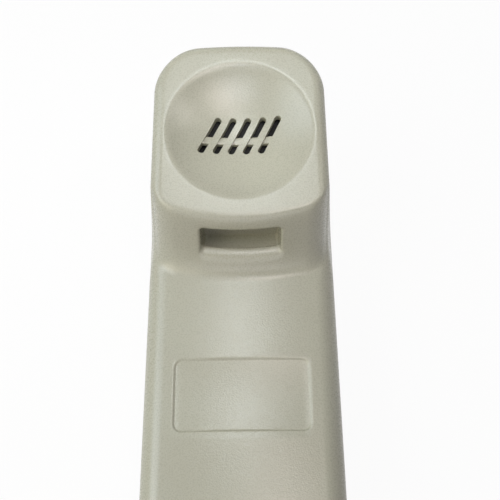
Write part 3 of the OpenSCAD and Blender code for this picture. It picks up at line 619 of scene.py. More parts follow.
def zinc_plate():
    zinc = Finish("zinc_plate", (0.58, 0.60, 0.62), 0.3, 1.0)
    cloud = zinc.noise(700.0, 3.0, 0.6)
    zinc.set("Base Color", zinc.blend(cloud.above(0.5, 0.25), (0.60, 0.62, 0.65), (0.56, 0.55, 0.48)))
    zinc.set("Roughness", 0.2 + 0.2 * cloud)
    zinc.bump(zinc.noise(4000.0, 1.0), 0.00001, 0.5)
    return zinc.material


def screw_blank(length):
    """A headed blank with its cross recess, whose head bears on z = 0."""
    core, tip = SCREW_CORE, SCREW_TIP
    blank = Solids()
    blank.turned([(0, -length), (0.3, 0.15 - length), (core, tip - length), (core, -0.4), (1.25, 0),
                  (2.3, 0), (2.4, 0.12), (2.4, 0.78), (2.28, 1.12), (1.95, 1.38), (1.4, 1.54),
                  (0.7, 1.6), (0, 1.6)], 48)
    piece = blank.piece("blank", ZINC)
    for turn in (0, 90):
        arm = Solids()
        place = Matrix.Rotation(math.radians(turn), 3, "Z")
        arm.loops([[place @ Vector((sx * x, sy * y, z)) for sx, sy in ((1, 1), (-1, 1), (-1, -1), (1, -1))]
                   for x, y, z in ((0.5, 0.2, 0.65), (1.4, 0.31, 1.5), (1.55, 0.4, 1.8))], [[0, 1, 2, 3]])
        combine(piece, arm.piece("tool", ZINC), "DIFFERENCE")
    return piece


def screw_pair(name, length, points, flip):
    blank = screw_blank(length)
    screws = Pattern("screw_pair")
    tooth = screws.node("GeometryNodeCurvePrimitiveCircle", None, {
        "Resolution": 3, "Radius": screws.size("Thread Tooth", THREAD_TOOTH * MM)})
    main = length - SCREW_TIP - 0.7
    threads = []
    for part, turns, start, rise, low in (("Shank", main / THREAD_PITCH, THREAD_R, main, SCREW_TIP - length),
                                          ("Tip", 1.3, 0.42, SCREW_TIP - 0.3, 0.3 - length)):
        spiral = screws.node("GeometryNodeCurveSpiral", None, {
            "Resolution": 20, "Rotations": screws.size(part + " Turns", turns),
            "Start Radius": screws.size(part + " Start", start * MM),
            "End Radius": screws.size(part + " End", THREAD_R * MM),
            "Height": screws.size(part + " Height", rise * MM)})
        thread = screws.node("GeometryNodeCurveToMesh", None, {
            "Curve": spiral.outputs[0], "Profile Curve": tooth.outputs[0], "Fill Caps": True})
        threads.append(screws.node("GeometryNodeTransform", None, {
            "Geometry": thread.outputs[0], "Translation": (0, 0, low * MM)}).outputs[0])
    headed = screws.node("GeometryNodeObjectInfo", None, {
        "Object": screws.size("Blank", blank, "NodeSocketObject")})
    whole = screws.node("GeometryNodeJoinGeometry", None, {
        "Geometry": threads + [headed.outputs["Geometry"]]})
    placed = screws.node("GeometryNodeInstanceOnPoints", None, {
        "Points": screws.given.outputs["Geometry"], "Instance": whole.outputs[0],
        "Rotation": (math.pi if flip else 0, 0, 0)})
    pair = screws.piece(name, placed.outputs[0], ZINC, points)
    bpy.data.objects.remove(blank)
    smooth_by_angle(pair, 35)
    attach(pair, "root")
    return pair


ZINC = zinc_plate()
ballast_pair = screw_pair("ballast_screw_pair", BALLAST_SCREW_LEN,
                          [(0, side * BALLAST_HOLE_Y, BALLAST_Z + BALLAST_T) for side in (-1, 1)], False)
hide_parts("ballast_screws")

# Cord jack
# A moulded socket for the cord's plug, held in the mouth end's wall by its collar and by ribs of
# both shells. It has a slot for the plug's catch and four gilt spring wires in its floor.
JACK_FRONT = 1.3 - END_Y
JACK_LEN = 11.0
JACK_H = 9.4
COLLAR_Y = -104.05
COLLAR_T = 1.5
COLLAR_OUT = 0.9
SOCKET_W = 7.8
SOCKET_H = 6.6
SOCKET_BACK = 2.4
KEY_W = 3.0
KEY_H = 1.0
WIRE_Z = 17.25
WIRE_T = 0.45
PIN_OUT = 1.6
CONTACTS = 4
CONTACT_PITCH = 1.02


def jack_plastic():
    plastic = Finish("jack_plastic", (0.44, 0.43, 0.35), 0.3)
    drift = plastic.noise(160.0, 3.0)
    plastic.set("Base Color", plastic.blend(drift.above(0.5, 0.3), (0.45, 0.44, 0.36), (0.42, 0.41, 0.33)))
    plastic.set("Roughness", 0.26 + 0.14 * drift)
    plastic.bump(plastic.noise(2600.0, 1.0), 0.00001, 0.4)
    return plastic.material


def gilt():
    metal = Finish("gilt", (0.86, 0.62, 0.26), 0.2, 1.0)
    wear = metal.noise(1500.0, 3.0)
    metal.set("Base Color", metal.blend(wear.above(0.6, 0.2), (0.88, 0.64, 0.27), (0.80, 0.60, 0.33)))
    metal.set("Roughness", 0.14 + 0.16 * wear)
    return metal.material


def cord_jack(material):
    back = JACK_FRONT + JACK_LEN
    body, collar, socket, key, holes = Solids(), Solids(), Solids(), Solids(), Solids()
    body.box((-JACK_W / 2, JACK_FRONT, JACK_Z), (JACK_W / 2, back, JACK_Z + JACK_H))
    collar.box((-JACK_W / 2 - COLLAR_OUT, COLLAR_Y, JACK_Z),
               (JACK_W / 2 + COLLAR_OUT, COLLAR_Y + COLLAR_T, JACK_Z + JACK_H + COLLAR_OUT))
    low = JACK_Z + (JACK_H - SOCKET_H) / 2
    socket.box((-SOCKET_W / 2, JACK_FRONT - 1, low), (SOCKET_W / 2, back - SOCKET_BACK, low + SOCKET_H))
    key.box((-KEY_W / 2, JACK_FRONT - 1, JACK_Z + JACK_H / 2),
            (KEY_W / 2, back - SOCKET_BACK, JACK_Z + JACK_H / 2 + SOCKET_H / 2 + KEY_H))
    for k in range(CONTACTS):
        x, half = (k - (CONTACTS - 1) / 2) * CONTACT_PITCH, WIRE_T / 2 + 0.05
        holes.box((x - half, JACK_FRONT - 9, WIRE_Z + WIRE_T / 2 - half),
                  (x + half, back + 9, WIRE_Z + WIRE_T / 2 + half))
    piece = body.piece("cord_jack", material)
    combine(piece, collar.piece("tool", material), "UNION")
    combine(piece, socket.piece("tool", material), "DIFFERENCE")
    combine(piece, key.piece("tool", material), "DIFFERENCE")
    ease = piece.modifiers.new("ease", "BEVEL")
    ease.width = 0.22 * MM
    ease.segments = 2
    ease.limit_method = "ANGLE"
    settle(piece)
    return combine(piece, holes.piece("tool", material), "DIFFERENCE")


def spring_wires(material):
    front, z = JACK_FRONT + 1.6, WIRE_Z + WIRE_T / 2
    path = [(0, JACK_FRONT + JACK_LEN + PIN_OUT, z), (0, front + 0.3, z), (0, front + 0.42, z + 0.36),
            (0, front + 4.2, z + 1.56), (0, front + 4.5, z + 1.5)]
    wires = Pattern("spring_wires")
    line = wires.node("GeometryNodeMeshToCurve", None, {"Mesh": wires.given.outputs["Geometry"]})
    bent = wires.node("GeometryNodeFilletCurve", {"mode": "POLY"}, {
        "Curve": line.outputs[0], "Count": 5, "Radius": wires.size("Bend Radius", 0.14 * MM),
        "Limit Radius": True})
    section = wires.node("GeometryNodeCurvePrimitiveCircle", None, {
        "Resolution": 12, "Radius": wires.size("Wire Radius", WIRE_T / 2 * MM)})
    wire = wires.node("GeometryNodeCurveToMesh", None, {
        "Curve": bent.outputs[0], "Profile Curve": section.outputs[0], "Fill Caps": True})
    first = wires.node("GeometryNodeTransform", None, {
        "Geometry": wire.outputs[0], "Translation": (-(CONTACTS - 1) / 2 * CONTACT_PITCH * MM, 0, 0)})
    row = wires.node("GeometryNodeMeshLine", None, {
        "Count": wires.size("Contacts", CONTACTS, "NodeSocketInt"),
        "Offset": (CONTACT_PITCH * MM, 0, 0)})
    placed = wires.node("GeometryNodeInstanceOnPoints", None, {
        "Points": row.outputs[0], "Instance": first.outputs[0]})
    return wires.piece("spring_wires", placed.outputs[0], material, path,
                       [(k, k + 1) for k in range(len(path) - 1)])


jack = cord_jack(jack_plastic())
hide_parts("jack_housing")
smooth_by_angle(jack, 40)
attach(jack, "root")
contacts = spring_wires(gilt())
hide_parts("jack_contacts")
smooth_by_angle(contacts, 50)
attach(contacts, "root")

# Microphone
# An electret capsule in a rubber boot behind the mouth's slots, with a disc of sound cloth over it.
# A foam pad on the rear shell's post presses the boot home; the leads are soldered to a small board.
MIC_CLOTH_R = 6.35
MIC_CLOTH_Z = -6.2
MIC_BACK = -11.4
MIC_HOLES = 5
MOUTH_PLACE = Matrix.Translation((0, MOUTH_Y, MOUTH_H)) @ Matrix.Rotation(-MOUTH_TILT, 4, "X")


def eased(profile, reach):
    """Rounds the corners of a closed outline that lie off the axis."""
    points = []
    for k, corner in enumerate(profile):
        corner = Vector(corner)
        if corner.x < 1e-6:
            points.append(tuple(corner))
            continue
        before = Vector(profile[k - 1]) - corner
        after = Vector(profile[(k + 1) % len(profile)]) - corner
        before *= min(reach / before.length, 0.45)
        after *= min(reach / after.length, 0.45)
        points += [tuple(corner + before), tuple(corner + (before + after) * 0.28), tuple(corner + after)]
    return points


def turned_piece(name, profile, place, material, node, ease=0.15):
    solid = Solids()
    solid.turned(eased(profile, ease) if ease else profile, 96, place)
    piece = solid.piece(name, material)
    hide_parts(node)
    smooth_by_angle(piece, 35)
    return carried(piece)


def carried(piece):
    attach(piece, "root")
    return piece


def dress(node, material):
    """Gives a node of the frame its finish."""
    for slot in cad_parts[node].material_slots:
        slot.material = material


def punch(piece, place, count, ring_r, hole_r, middle, depth, start):
    """Punches a ring of round holes through a piece."""
    ring = Pattern("ring_of_holes")
    circle = ring.node("GeometryNodeMeshCircle", None, {
        "Vertices": ring.size("Holes", count, "NodeSocketInt"),
        "Radius": ring.size("Ring Radius", ring_r * MM)})
    hole = ring.node("GeometryNodeMeshCylinder", None, {
        "Vertices": 24, "Radius": ring.size("Hole Radius", hole_r * MM),
        "Depth": ring.size("Depth", depth * MM)})
    placed = ring.node("GeometryNodeInstanceOnPoints", None, {
        "Points": circle.outputs[0], "Instance": hole.outputs["Mesh"]})
    tool = ring.piece("holes", placed.outputs[0], piece.data.materials[0], [(0, 0, 0)])
    turn = Matrix.Rotation(math.radians(start), 4, "Z")
    at = Matrix.Translation(place.translation * MM) @ place.to_3x3().to_4x4()
    tool.data.transform(at @ Matrix.Translation((0, 0, middle * MM)) @ turn)
    return combine(piece, tool, "DIFFERENCE")


def sound_cloth():
    cloth = Finish("sound_cloth", (0.03, 0.03, 0.03), 0.85)
    warp = cloth.wave(cloth.axis(0), 2800.0)
    weft = cloth.wave(cloth.axis(1), 2800.0)
    weave = 0.5 + 0.5 * warp * weft
    # Painted highlight and shade: the colour is lighter on the weave's raised points and darker in its dips; the bump
    # gives the relief.
    cloth.set("Base Color", cloth.blend(weave, (0.016, 0.016, 0.017), (0.05, 0.05, 0.052)))
    cloth.set("Roughness", 0.8 + 0.15 * weave)
    cloth.bump(weave, 0.00006, 0.8)
    cloth.set("Sheen Weight", 0.2)
    return cloth.material


def soft_rubber():
    rubber = Finish("soft_rubber", (0.03, 0.03, 0.032), 0.65)
    bloom = rubber.noise(260.0, 4.0, 0.6)
    rubber.set("Base Color", rubber.blend(bloom.above(0.55, 0.2), (0.022, 0.022, 0.024), (0.045, 0.045, 0.047)))
    rubber.set("Roughness", 0.55 + 0.25 * bloom)
    rubber.bump(rubber.noise(3000.0, 2.0), 0.00002, 0.5)
    return rubber.material


def drawn_can():
    can = Finish("drawn_can", (0.62, 0.63, 0.64), 0.28, 1.0)
    scuff = can.noise(900.0, 3.0, 0.6)
    can.set("Base Color", can.blend(scuff, (0.58, 0.59, 0.60), (0.66, 0.67, 0.68)))
    can.set("Roughness", 0.2 + 0.18 * scuff)
    can.bump(can.noise(1.0, 2.0, 0.5, can.stretched((300.0, 300.0, 5000.0))), 0.00001, 0.5)
    return can.material


def lug_board(name, place, lug_level):
    """Resin bonded paper board, with tinned lugs below a level in the frame of its dish."""
    board = Finish(name, (0.35, 0.22, 0.08), 0.45)
    fibre = board.noise(1.0, 4.0, 0.6, board.stretched((2600.0, 500.0, 900.0)))
    axis = place.to_3x3().col[2]
    level = board.axis(1) * axis.y + board.axis(2) * axis.z - place.translation.dot(axis) * MM
    tinned = 1 - level.above(lug_level * MM, 0.00003)
    paper = board.blend(fibre, (0.30, 0.18, 0.06), (0.40, 0.26, 0.10))
    color = board.node("ShaderNodeMix", {"data_type": "RGBA"}, {
        0: tinned, 6: paper, 7: (0.55, 0.56, 0.57, 1.0)})
    board.set("Base Color", color.outputs[2])
    board.set("Metallic", tinned)
    board.set("Roughness", 0.45 - 0.15 * tinned + 0.1 * fibre)
    board.bump(fibre, 0.00002, 0.5)
    return board.material


def pad_foam():
    foam = Finish("pad_foam", (0.07, 0.07, 0.08), 0.95)
    cells = foam.cells(2600.0, "F1")
    coarse = foam.noise(500.0, 3.0)
    foam.set("Base Color", foam.blend(cells.above(0.45, 0.3), (0.10, 0.10, 0.112), (0.035, 0.035, 0.04)))
    foam.bump(cells, 0.00012, 0.9)
    foam.bump(coarse, 0.0001, 0.4)
    return foam.material


def foam_pad(name, place, size, low, high, notch=None):
    """A die-cut block of foam whose sides bulge a little where the post presses it."""
    rows = 9
    loops = []
    for k in range(rows):
        t = k / (rows - 1)
        bulge = -0.25 + 0.25 * math.sin(math.pi * t)
        half = size / 2 + bulge - (0.15 if k in (0, rows - 1) else 0)
        r = 0.7
        loop = []
        for sx, sy, start in ((1, 1, 0), (-1, 1, 90), (-1, -1, 180), (1, -1, 270)):
            for j in range(5):
                a = math.radians(start + 90 * j / 4)
                loop.append(place @ Vector((sx * (half - r) + r * math.cos(a),
                                            sy * (half - r) + r * math.sin(a), low + (high - low) * t)))
        loops.append(loop)
    pad = Solids()
    pad.loops(loops, [list(range(20))])
    piece = pad.piece(name, FOAM)
    if notch:
        cut = Solids()
        cut.box(*notch)
        tool = cut.piece("tool", FOAM)
        at = Matrix.Translation(place.translation * MM) @ place.to_3x3().to_4x4()
        tool.data.transform(at)
        combine(piece, tool, "DIFFERENCE")
    smooth_by_angle(piece, 50)
    return carried(piece)


CLOTH = sound_cloth()
FOAM = pad_foam()
mic_boot = turned_piece("microphone_rubber", [(6.35, -12.8), (6.35, -6.2), (4.9, -6.2), (4.9, MIC_BACK),
                                              (3.15, MIC_BACK), (3.15, -12.8)],
                        MOUTH_PLACE, soft_rubber(), "microphone_boot", 0.3)
mic_can = turned_piece("microphone_can", [(0, MIC_BACK), (4.5, MIC_BACK), (4.85, -11.1), (4.85, -10.6),
                                          (4.72, -10.45), (4.72, -10.25), (4.85, -10.1), (4.85, -6.2),
                                          (4.05, -6.2), (4.05, -6.5), (0, -6.5)],
                       MOUTH_PLACE, drawn_can(), "microphone_capsule", 0.12)
punch(mic_can, MOUTH_PLACE, MIC_HOLES, 1.6, 0.4, -6.8, 1.4, 0)
smooth_by_angle(mic_can, 35)
mic_cloth = turned_piece("microphone_sound_cloth", [(0, MIC_CLOTH_Z), (MIC_CLOTH_R, MIC_CLOTH_Z),
                                                    (MIC_CLOTH_R, -5.95), (5.6, -5.8), (0, -5.85)],
                         MOUTH_PLACE, CLOTH, "microphone_cloth", 0.1)
mic_pad = foam_pad("microphone_foam", MOUTH_PLACE, MOUTH_PAD_W, MOUTH_PAD_Z, -12.8,
                   ((-3.0, -9.0, -18.0), (3.0, 1.5, -12.0)))
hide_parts("microphone_pad")
dress("microphone_board", lug_board("microphone_board_paper", MOUTH_PLACE, -12.2))

# Receiver
# A moving coil receiver behind the ear's slots: a film diaphragm with its coil over a ferrite
# magnet, in a moulded frame with vents. A foam ring seals it to its seat, and foam presses it home.
RX_R = 17.0
RX_TOP = -9.0
RX_BACK = -14.0
RX_LEDGE = -10.05
YOKE_Z = -14.6
VENTS = 8
EAR_PLACE = Matrix.Translation((0, EAR_Y, EAR_H)) @ Matrix.Rotation(EAR_TILT, 4, "X")


def grey_plastic():
    plastic = Finish("grey_plastic", (0.08, 0.08, 0.09), 0.4)
    drift = plastic.noise(200.0, 3.0)
    plastic.set("Base Color", plastic.blend(drift, (0.07, 0.07, 0.078), (0.09, 0.09, 0.10)))
    plastic.set("Roughness", 0.34 + 0.14 * drift)
    plastic.bump(plastic.noise(2800.0, 2.0), 0.00002, 0.5)
    return plastic.material


def film():
    sheet = Finish("film", (0.55, 0.54, 0.48), 0.16)
    pull = sheet.noise(350.0, 2.0)
    sheet.set("Base Color", sheet.blend(pull, (0.52, 0.51, 0.45), (0.58, 0.57, 0.51)))
    sheet.set("Roughness", 0.1 + 0.12 * pull)
    sheet.bump(pull, 0.00003, 0.3)
    return sheet.material


def copper_wire():
    copper = Finish("copper_wire", (0.60, 0.25, 0.12), 0.32, 1.0)
    axis = EAR_PLACE.to_3x3().col[2]
    turns = copper.wave(copper.axis(1) * axis.y + copper.axis(2) * axis.z, 9000.0)
    # Painted shade and highlight: the colour is darker in the grooves between the turns, where shade would fall, and
    # lighter on their crests; the bump gives the relief.
    copper.set("Base Color", copper.blend(0.5 + 0.5 * turns, (0.40, 0.15, 0.07), (0.68, 0.30, 0.15)))
    copper.set("Roughness", 0.36 - 0.08 * turns)
    copper.bump(turns, 0.00003, 0.8)
    return copper.material


def ferrite():
    block = Finish("ferrite", (0.10, 0.10, 0.11), 0.55)
    grit = block.noise(2400.0, 3.0, 0.7)
    block.set("Base Color", block.blend(grit, (0.07, 0.07, 0.078), (0.14, 0.14, 0.15)))
    block.set("Roughness", 0.45 + 0.25 * grit)
    block.bump(grit, 0.00002, 0.6)
    return block.material


def diaphragm_profile():
    rim, coil_r, thick = RX_R - 1.4, 6.55, 0.25
    span = rim - 0.7 - coil_r - 0.4
    line = [((coil_r - 0.2) * k / 12, 1 - (k / 12) ** 2) for k in range(13)]
    line += [(coil_r + 0.4 + span * k / 18, 0.5 * math.sin(math.pi * k / 18)) for k in range(19)]
    line.append((rim, 0.0))
    return ([(r, z + RX_LEDGE + thick) for r, z in line]
            + [(r, z + RX_LEDGE) for r, z in line[::-1]])


rx_frame = turned_piece("receiver_moulded_frame", [
    (8.15, RX_BACK), (RX_R, RX_BACK), (RX_R, RX_TOP), (RX_R - 1.3, RX_TOP), (RX_R - 1.3, RX_LEDGE),
    (RX_R - 2.6, RX_LEDGE), (RX_R - 2.6, RX_BACK + 1), (8.15, RX_BACK + 1)],
    EAR_PLACE, grey_plastic(), "receiver_frame", 0.2)
punch(rx_frame, EAR_PLACE, VENTS, 11.9, 1.0, RX_BACK + 0.5, 2.0, 22.5)
smooth_by_angle(rx_frame, 35)
turned_piece("receiver_yoke_cup", [(0, YOKE_Z), (8.1, YOKE_Z), (8.1, -10.2), (7.1, -10.2),
                                   (7.1, YOKE_Z + 1), (0, YOKE_Z + 1)],
             EAR_PLACE, STEEL, "receiver_yoke", 0.25)
turned_piece("receiver_ferrite", [(0, YOKE_Z + 1), (5.8, YOKE_Z + 1), (5.8, YOKE_Z + 3.4), (0, YOKE_Z + 3.4)],
             EAR_PLACE, ferrite(), "receiver_magnet", 0.3)
turned_piece("receiver_pole", [(0, -11.2), (6.0, -11.2), (6.0, -10.2), (0, -10.2)],
             EAR_PLACE, STEEL, "pole_plate", 0.15)
turned_piece("receiver_film", diaphragm_profile(), EAR_PLACE, film(), "receiver_diaphragm", 0)
dress("voice_coil", copper_wire())
turned_piece("receiver_foam_ring", [(13.4, -9.0), (16.6, -9.0), (16.6, -7.8), (13.4, -7.8)],
             EAR_PLACE, FOAM, "receiver_gasket", 0.4)
rx_cloth = turned_piece("receiver_sound_cloth", [(0, -7.8), (16.4, -7.8), (16.4, -7.55), (15.4, -7.4), (0, -7.45)],
                        EAR_PLACE, CLOTH, "receiver_cloth", 0.1)
rx_pad = foam_pad("receiver_foam", EAR_PLACE, EAR_PAD_W, EAR_PAD_Z, YOKE_Z)
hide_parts("receiver_pad")
dress("receiver_terminals", lug_board("receiver_board_paper", EAR_PLACE, -15.0))

# Leads
# Four stranded wires in soft PVC run from the receiver and the microphone to the jack's pins. They
# lie loose between the ballast and the front shell, and are soldered at both ends.
LEAD_COLORS = {
    "receiver_lead_red": (0.40, 0.02, 0.012),
    "receiver_lead_green": (0.03, 0.16, 0.05),
    "microphone_lead_black": (0.02, 0.02, 0.02),
    "microphone_lead_yellow": (0.60, 0.42, 0.04),
}
for lead, color in LEAD_COLORS.items():
    pvc = Finish(lead + "_pvc", color, 0.42)
    bloom = pvc.noise(900.0, 3.0)
    pvc.set("Base Color", pvc.blend(bloom, tuple(c * 0.85 for c in color), tuple(c * 1.1 for c in color)))
    pvc.set("Roughness", 0.34 + 0.16 * bloom)
    pvc.bump(bloom, 0.00002, 0.4)
    dress(lead, pvc.material)

# Front shell
# The ear and mouth side, moulded in one: two blocks with dished faces over a crowned grip. Each
# dish and its slots are rounded where they meet the face, and the hook's pocket is sunk in the step.
GRIP_H = 24.0
CROWN_R = 174.0
DRAFT = 4.5
GRIP_EDGE_R = 5.0
BLOCK_EDGE_R = 3.0
STEP_BLEND = 2.6
FOOT_BLEND = 8.0
EDGE_ROUND = 6.0
RIM_BLEND = 0.45


class Block:
    """One end block: a leaning face with a dish in it, cut off by a step down to the grip."""

    def __init__(self, end, height, tilt, middle, edge, width, bow, rise, dish_r, deep):
        self.end = end
        self.height = height
        self.tilt = tilt
        self.middle = middle
        self.edge = edge
        self.width = width
        self.bow = bow
        self.rise = rise
        self.deep = deep
        self.cap = (dish_r * dish_r + deep * deep) / (2 * deep)
        lift = self.cap - deep
        self.dish_y = end * (middle - lift * math.sin(self.tilt))
        self.dish_z = height + lift * math.cos(self.tilt)
        self.place = (Matrix.Translation((0, end * middle, height))
                      @ Matrix.Rotation(end * self.tilt, 4, "X"))

    def edge_curve(self, x):
        over = np.clip(np.abs(x) - self.width / 2 + 2 + EDGE_ROUND, 0, EDGE_ROUND * 0.98)
        return (self.bow * (2 * x / self.width) ** 2 + EDGE_ROUND
                - np.sqrt(EDGE_ROUND ** 2 - over * over))

    def z(self, x, y, inset):
        v = self.end * y
        at = self.edge + self.edge_curve(x)
        slope = math.tan(self.tilt)
        face = self.height + (v - self.middle) * slope - inset / math.cos(self.tilt)
        step = (self.height + (at - self.middle) * slope + (v - at) * self.rise
                - inset * math.sqrt(1 + self.rise ** 2))
        return soft_min(face, step, STEP_BLEND)

    def dish(self, x, y, thick):
        reach = (self.cap + thick) ** 2 - x * x - (y - self.dish_y) ** 2
        return np.where(reach > 0, self.dish_z - np.sqrt(np.maximum(reach, 0)), 1000.0)


def soft_min(a, b, k):
    return np.minimum(a, b) - np.maximum(k - np.abs(a - b), 0) ** 2 / (4 * k)


def soft_max(a, b, k):
    return np.maximum(a, b) + np.maximum(k - np.abs(a - b), 0) ** 2 / (4 * k)


def smooth(t):
    c = np.clip(t, 0, 1)
    return c * c * (3 - 2 * c)


EAR = Block(1, EAR_H, EAR_TILT, EAR_Y, END_Y - 53, EAR_W, 5.4, 2.14, 19.5, 5.0)
MOUTH = Block(-1, MOUTH_H, MOUTH_TILT, -MOUTH_Y, END_Y - 46, MOUTH_W, 5.4, 1.5, 16.0, 3.0)


def top_z(x, y, inset=0.0):
    grip = GRIP_H - CROWN_R + np.sqrt(CROWN_R ** 2 - x * x) - inset
    return soft_max(soft_max(grip, EAR.z(x, y, inset), FOOT_BLEND), MOUTH.z(x, y, inset), FOOT_BLEND)


def face_z(x, y):
    z = soft_min(top_z(x, y), EAR.dish(x, y, 0), RIM_BLEND)
    return soft_min(z, MOUTH.dish(x, y, 0), RIM_BLEND)


def under_z(x, y):
    z = np.minimum(top_z(x, y, WALL), EAR.dish(x, y, WALL))
    return np.minimum(z, MOUTH.dish(x, y, WALL))


def edge_r(y):
    block = np.maximum(smooth((y - EAR.edge + 10) / 10), smooth((-MOUTH.edge + 10 - y) / 10))
    return GRIP_EDGE_R + (BLOCK_EDGE_R - GRIP_EDGE_R) * block


def front_ring(line, inset, degrees):
    phi = math.radians(degrees)
    r = edge_r(line.y) - inset * 0.8
    near = top_z(line.x - line.nx * (r + 4), line.y - line.ny * (r + 4), inset)
    lean = (near - r - SEAM_H) * math.tan(math.radians(DRAFT))
    d = inset + lean + r * (1 - math.cos(phi))
    x = line.x - line.nx * d
    y = line.y - line.ny * d
    return np.stack([x, y, top_z(x, y, inset) - r * (1 - math.sin(phi))], 1)


FRONT_YS = (spread(-CORNER_Y, -46, 0.7) + spread(-46, 40, 2.4)[1:-1] + spread(40, 64, 0.45)
            + spread(64, CORNER_Y, 0.6)[1:])[1:-1]
FRONT_LINE = Outline(FRONT_YS, 14, 20)


def front_skin():
    line = FRONT_LINE
    rings = [front_ring(line, 0.0, phi) for phi in np.linspace(90, 0, 9)]
    rings += [line.level(0, SEAM_H + SEAM_V), line.level(SEAM_V, SEAM_H),
              line.level(LIP_IN - FIT, SEAM_H), line.level(LIP_IN - FIT, SEAM_H + LIP_H + FIT),
              line.level(WALL, SEAM_H + LIP_H + FIT)]
    rings += [front_ring(line, WALL, phi) for phi in (0, 30, 60, 90)]
    return line.skin(rings, face_z, under_z, True)


FRONT_POINTS, FRONT_FACES = front_skin()
front_shell = make_piece("front_casing", FRONT_POINTS, FRONT_FACES, CASING)

# Sound slots: five in the ear dish and three in the mouth dish, all leaning, with a rib across
# them half a millimetre down. The edges are rounded by the tool.
SLOT_W = 1.75
SLOT_LEAN = 27.0
SLOT_EDGE = 0.22
RIB_LOW = -2.2
RIB_HIGH = 0.0
RIB_DEEP = 0.5


def slot_outline(middle_x, length, grow):
    """A slot with round ends in the dish's frame, grown evenly all round."""
    r = SLOT_W / 2
    lean = math.radians(SLOT_LEAN)
    points = []
    for end in (1, -1):
        for k in range(13):
            a = math.radians(k * 15) + (0 if end > 0 else math.pi)
            u = (r + grow) * math.cos(a)
            v = (r + grow) * math.sin(a) + end * (length / 2 - r)
            points.append((u * math.cos(lean) + v * math.sin(lean) + middle_x,
                           v * math.cos(lean) - u * math.sin(lean)))
    return points


def below_dish(block, u, v, depth):
    """A point in the world at a depth under the dish's surface."""
    rest = math.sqrt(block.cap ** 2 - u * u - v * v)
    return block.place @ Vector((u, v, block.cap - block.deep - rest - depth))


def cut_slots(piece, block, count, pitch, length):
    flare = [(-0.6, SLOT_EDGE * 1.05)]
    for k in range(5):
        a = math.radians(22.5 * k)
        flare.append((SLOT_EDGE * (1 - math.sin(a)), SLOT_EDGE * (1 - math.cos(a))))
    flare = [(depth, grow) for grow, depth in flare[1:]]
    flare = [(-0.6, SLOT_EDGE * 1.05)] + flare + [(12.0, 0.0)]
    slots = Solids()
    for i in range(count):
        x = (i - (count - 1) / 2) * pitch
        loops = [[below_dish(block, u, v, depth) for u, v in slot_outline(x, length, grow)]
                 for depth, grow in flare]
        slots.loops(loops, [list(range(len(loops[0])))])
    combine(piece, slots.piece(), "DIFFERENCE")
    across = (count - 1) / 2 * pitch + length / 2
    us = list(np.linspace(-across, across, 41))
    top = [(RIB_LOW, 0.35), (RIB_LOW + 0.1, 0.12), (RIB_LOW + 0.35, 0.0),
           (RIB_HIGH - 0.35, 0.0), (RIB_HIGH - 0.1, 0.12), (RIB_HIGH, 0.35)]
    loops = [[below_dish(block, u, v, RIB_DEEP + drop) for u in us]
             + [below_dish(block, u, v, WALL - 0.3) for u in us[::-1]] for v, drop in top]
    count = len(loops[0])
    rib = Solids()
    rib.loops(loops, [[k, k + 1, count - 2 - k, count - 1 - k] for k in range(count // 2 - 1)])
    combine(piece, rib.piece(), "UNION")


cut_slots(front_shell, EAR, 5, 4.0, 11.6)
cut_slots(front_shell, MOUTH, 3, 3.2, 6.0)

# Hook pocket: a tapering box let into the ear step for a wall hook, with walls of its own inside
# the shell. A rounded edge leads in over a level sill to a deeper bed; the other edges are eased.
HOOK_W = 21.0
HOOK_TAPER = math.tan(math.radians(9))
HOOK_FLOOR = 28.4
HOOK_TALL = 7.1
HOOK_SILL = 1.0
HOOK_DIP = 2.4
HOOK_BACK = END_Y - 50.6
HOOK_CORNER = 1.1
HOOK_EDGE_R = 1.8
HOOK_BROW_R = 0.9


def skin_y(x, z):
    """Where the step's surface stands at a height."""
    low = np.full(np.shape(z), 38.0)
    high = np.full(np.shape(z), 64.0)
    for _ in range(40):
        middle = (low + high) / 2
        under = top_z(x, middle) < z
        low = np.where(under, middle, low)
        high = np.where(under, high, middle)
    return (low + high) / 2


def pocket_outline():
    points = []
    w, h, r = HOOK_W / 2, HOOK_TALL / 2, HOOK_CORNER
    for sx, sz, start in ((1, 1, 0), (-1, 1, 90), (-1, -1, 180), (1, -1, 270)):
        for k in range(9):
            a = math.radians(start + 90 * k / 8)
            points.append((sx * (w - r) + r * math.cos(a), sz * (h - r) + r * math.sin(a),
                           math.cos(a), math.sin(a)))
        if sz > 0 and sx > 0:
            points += [(x, h, 0, 1) for x in np.linspace(w - r, r - w, 14)[1:-1]]
        if sz < 0 and sx < 0:
            points += [(x, -h, 0, -1) for x in np.linspace(r - w, w - r, 14)[1:-1]]
    x, z, nx, nz = np.array(points).T
    return x, z + HOOK_FLOOR + h, nx, nz


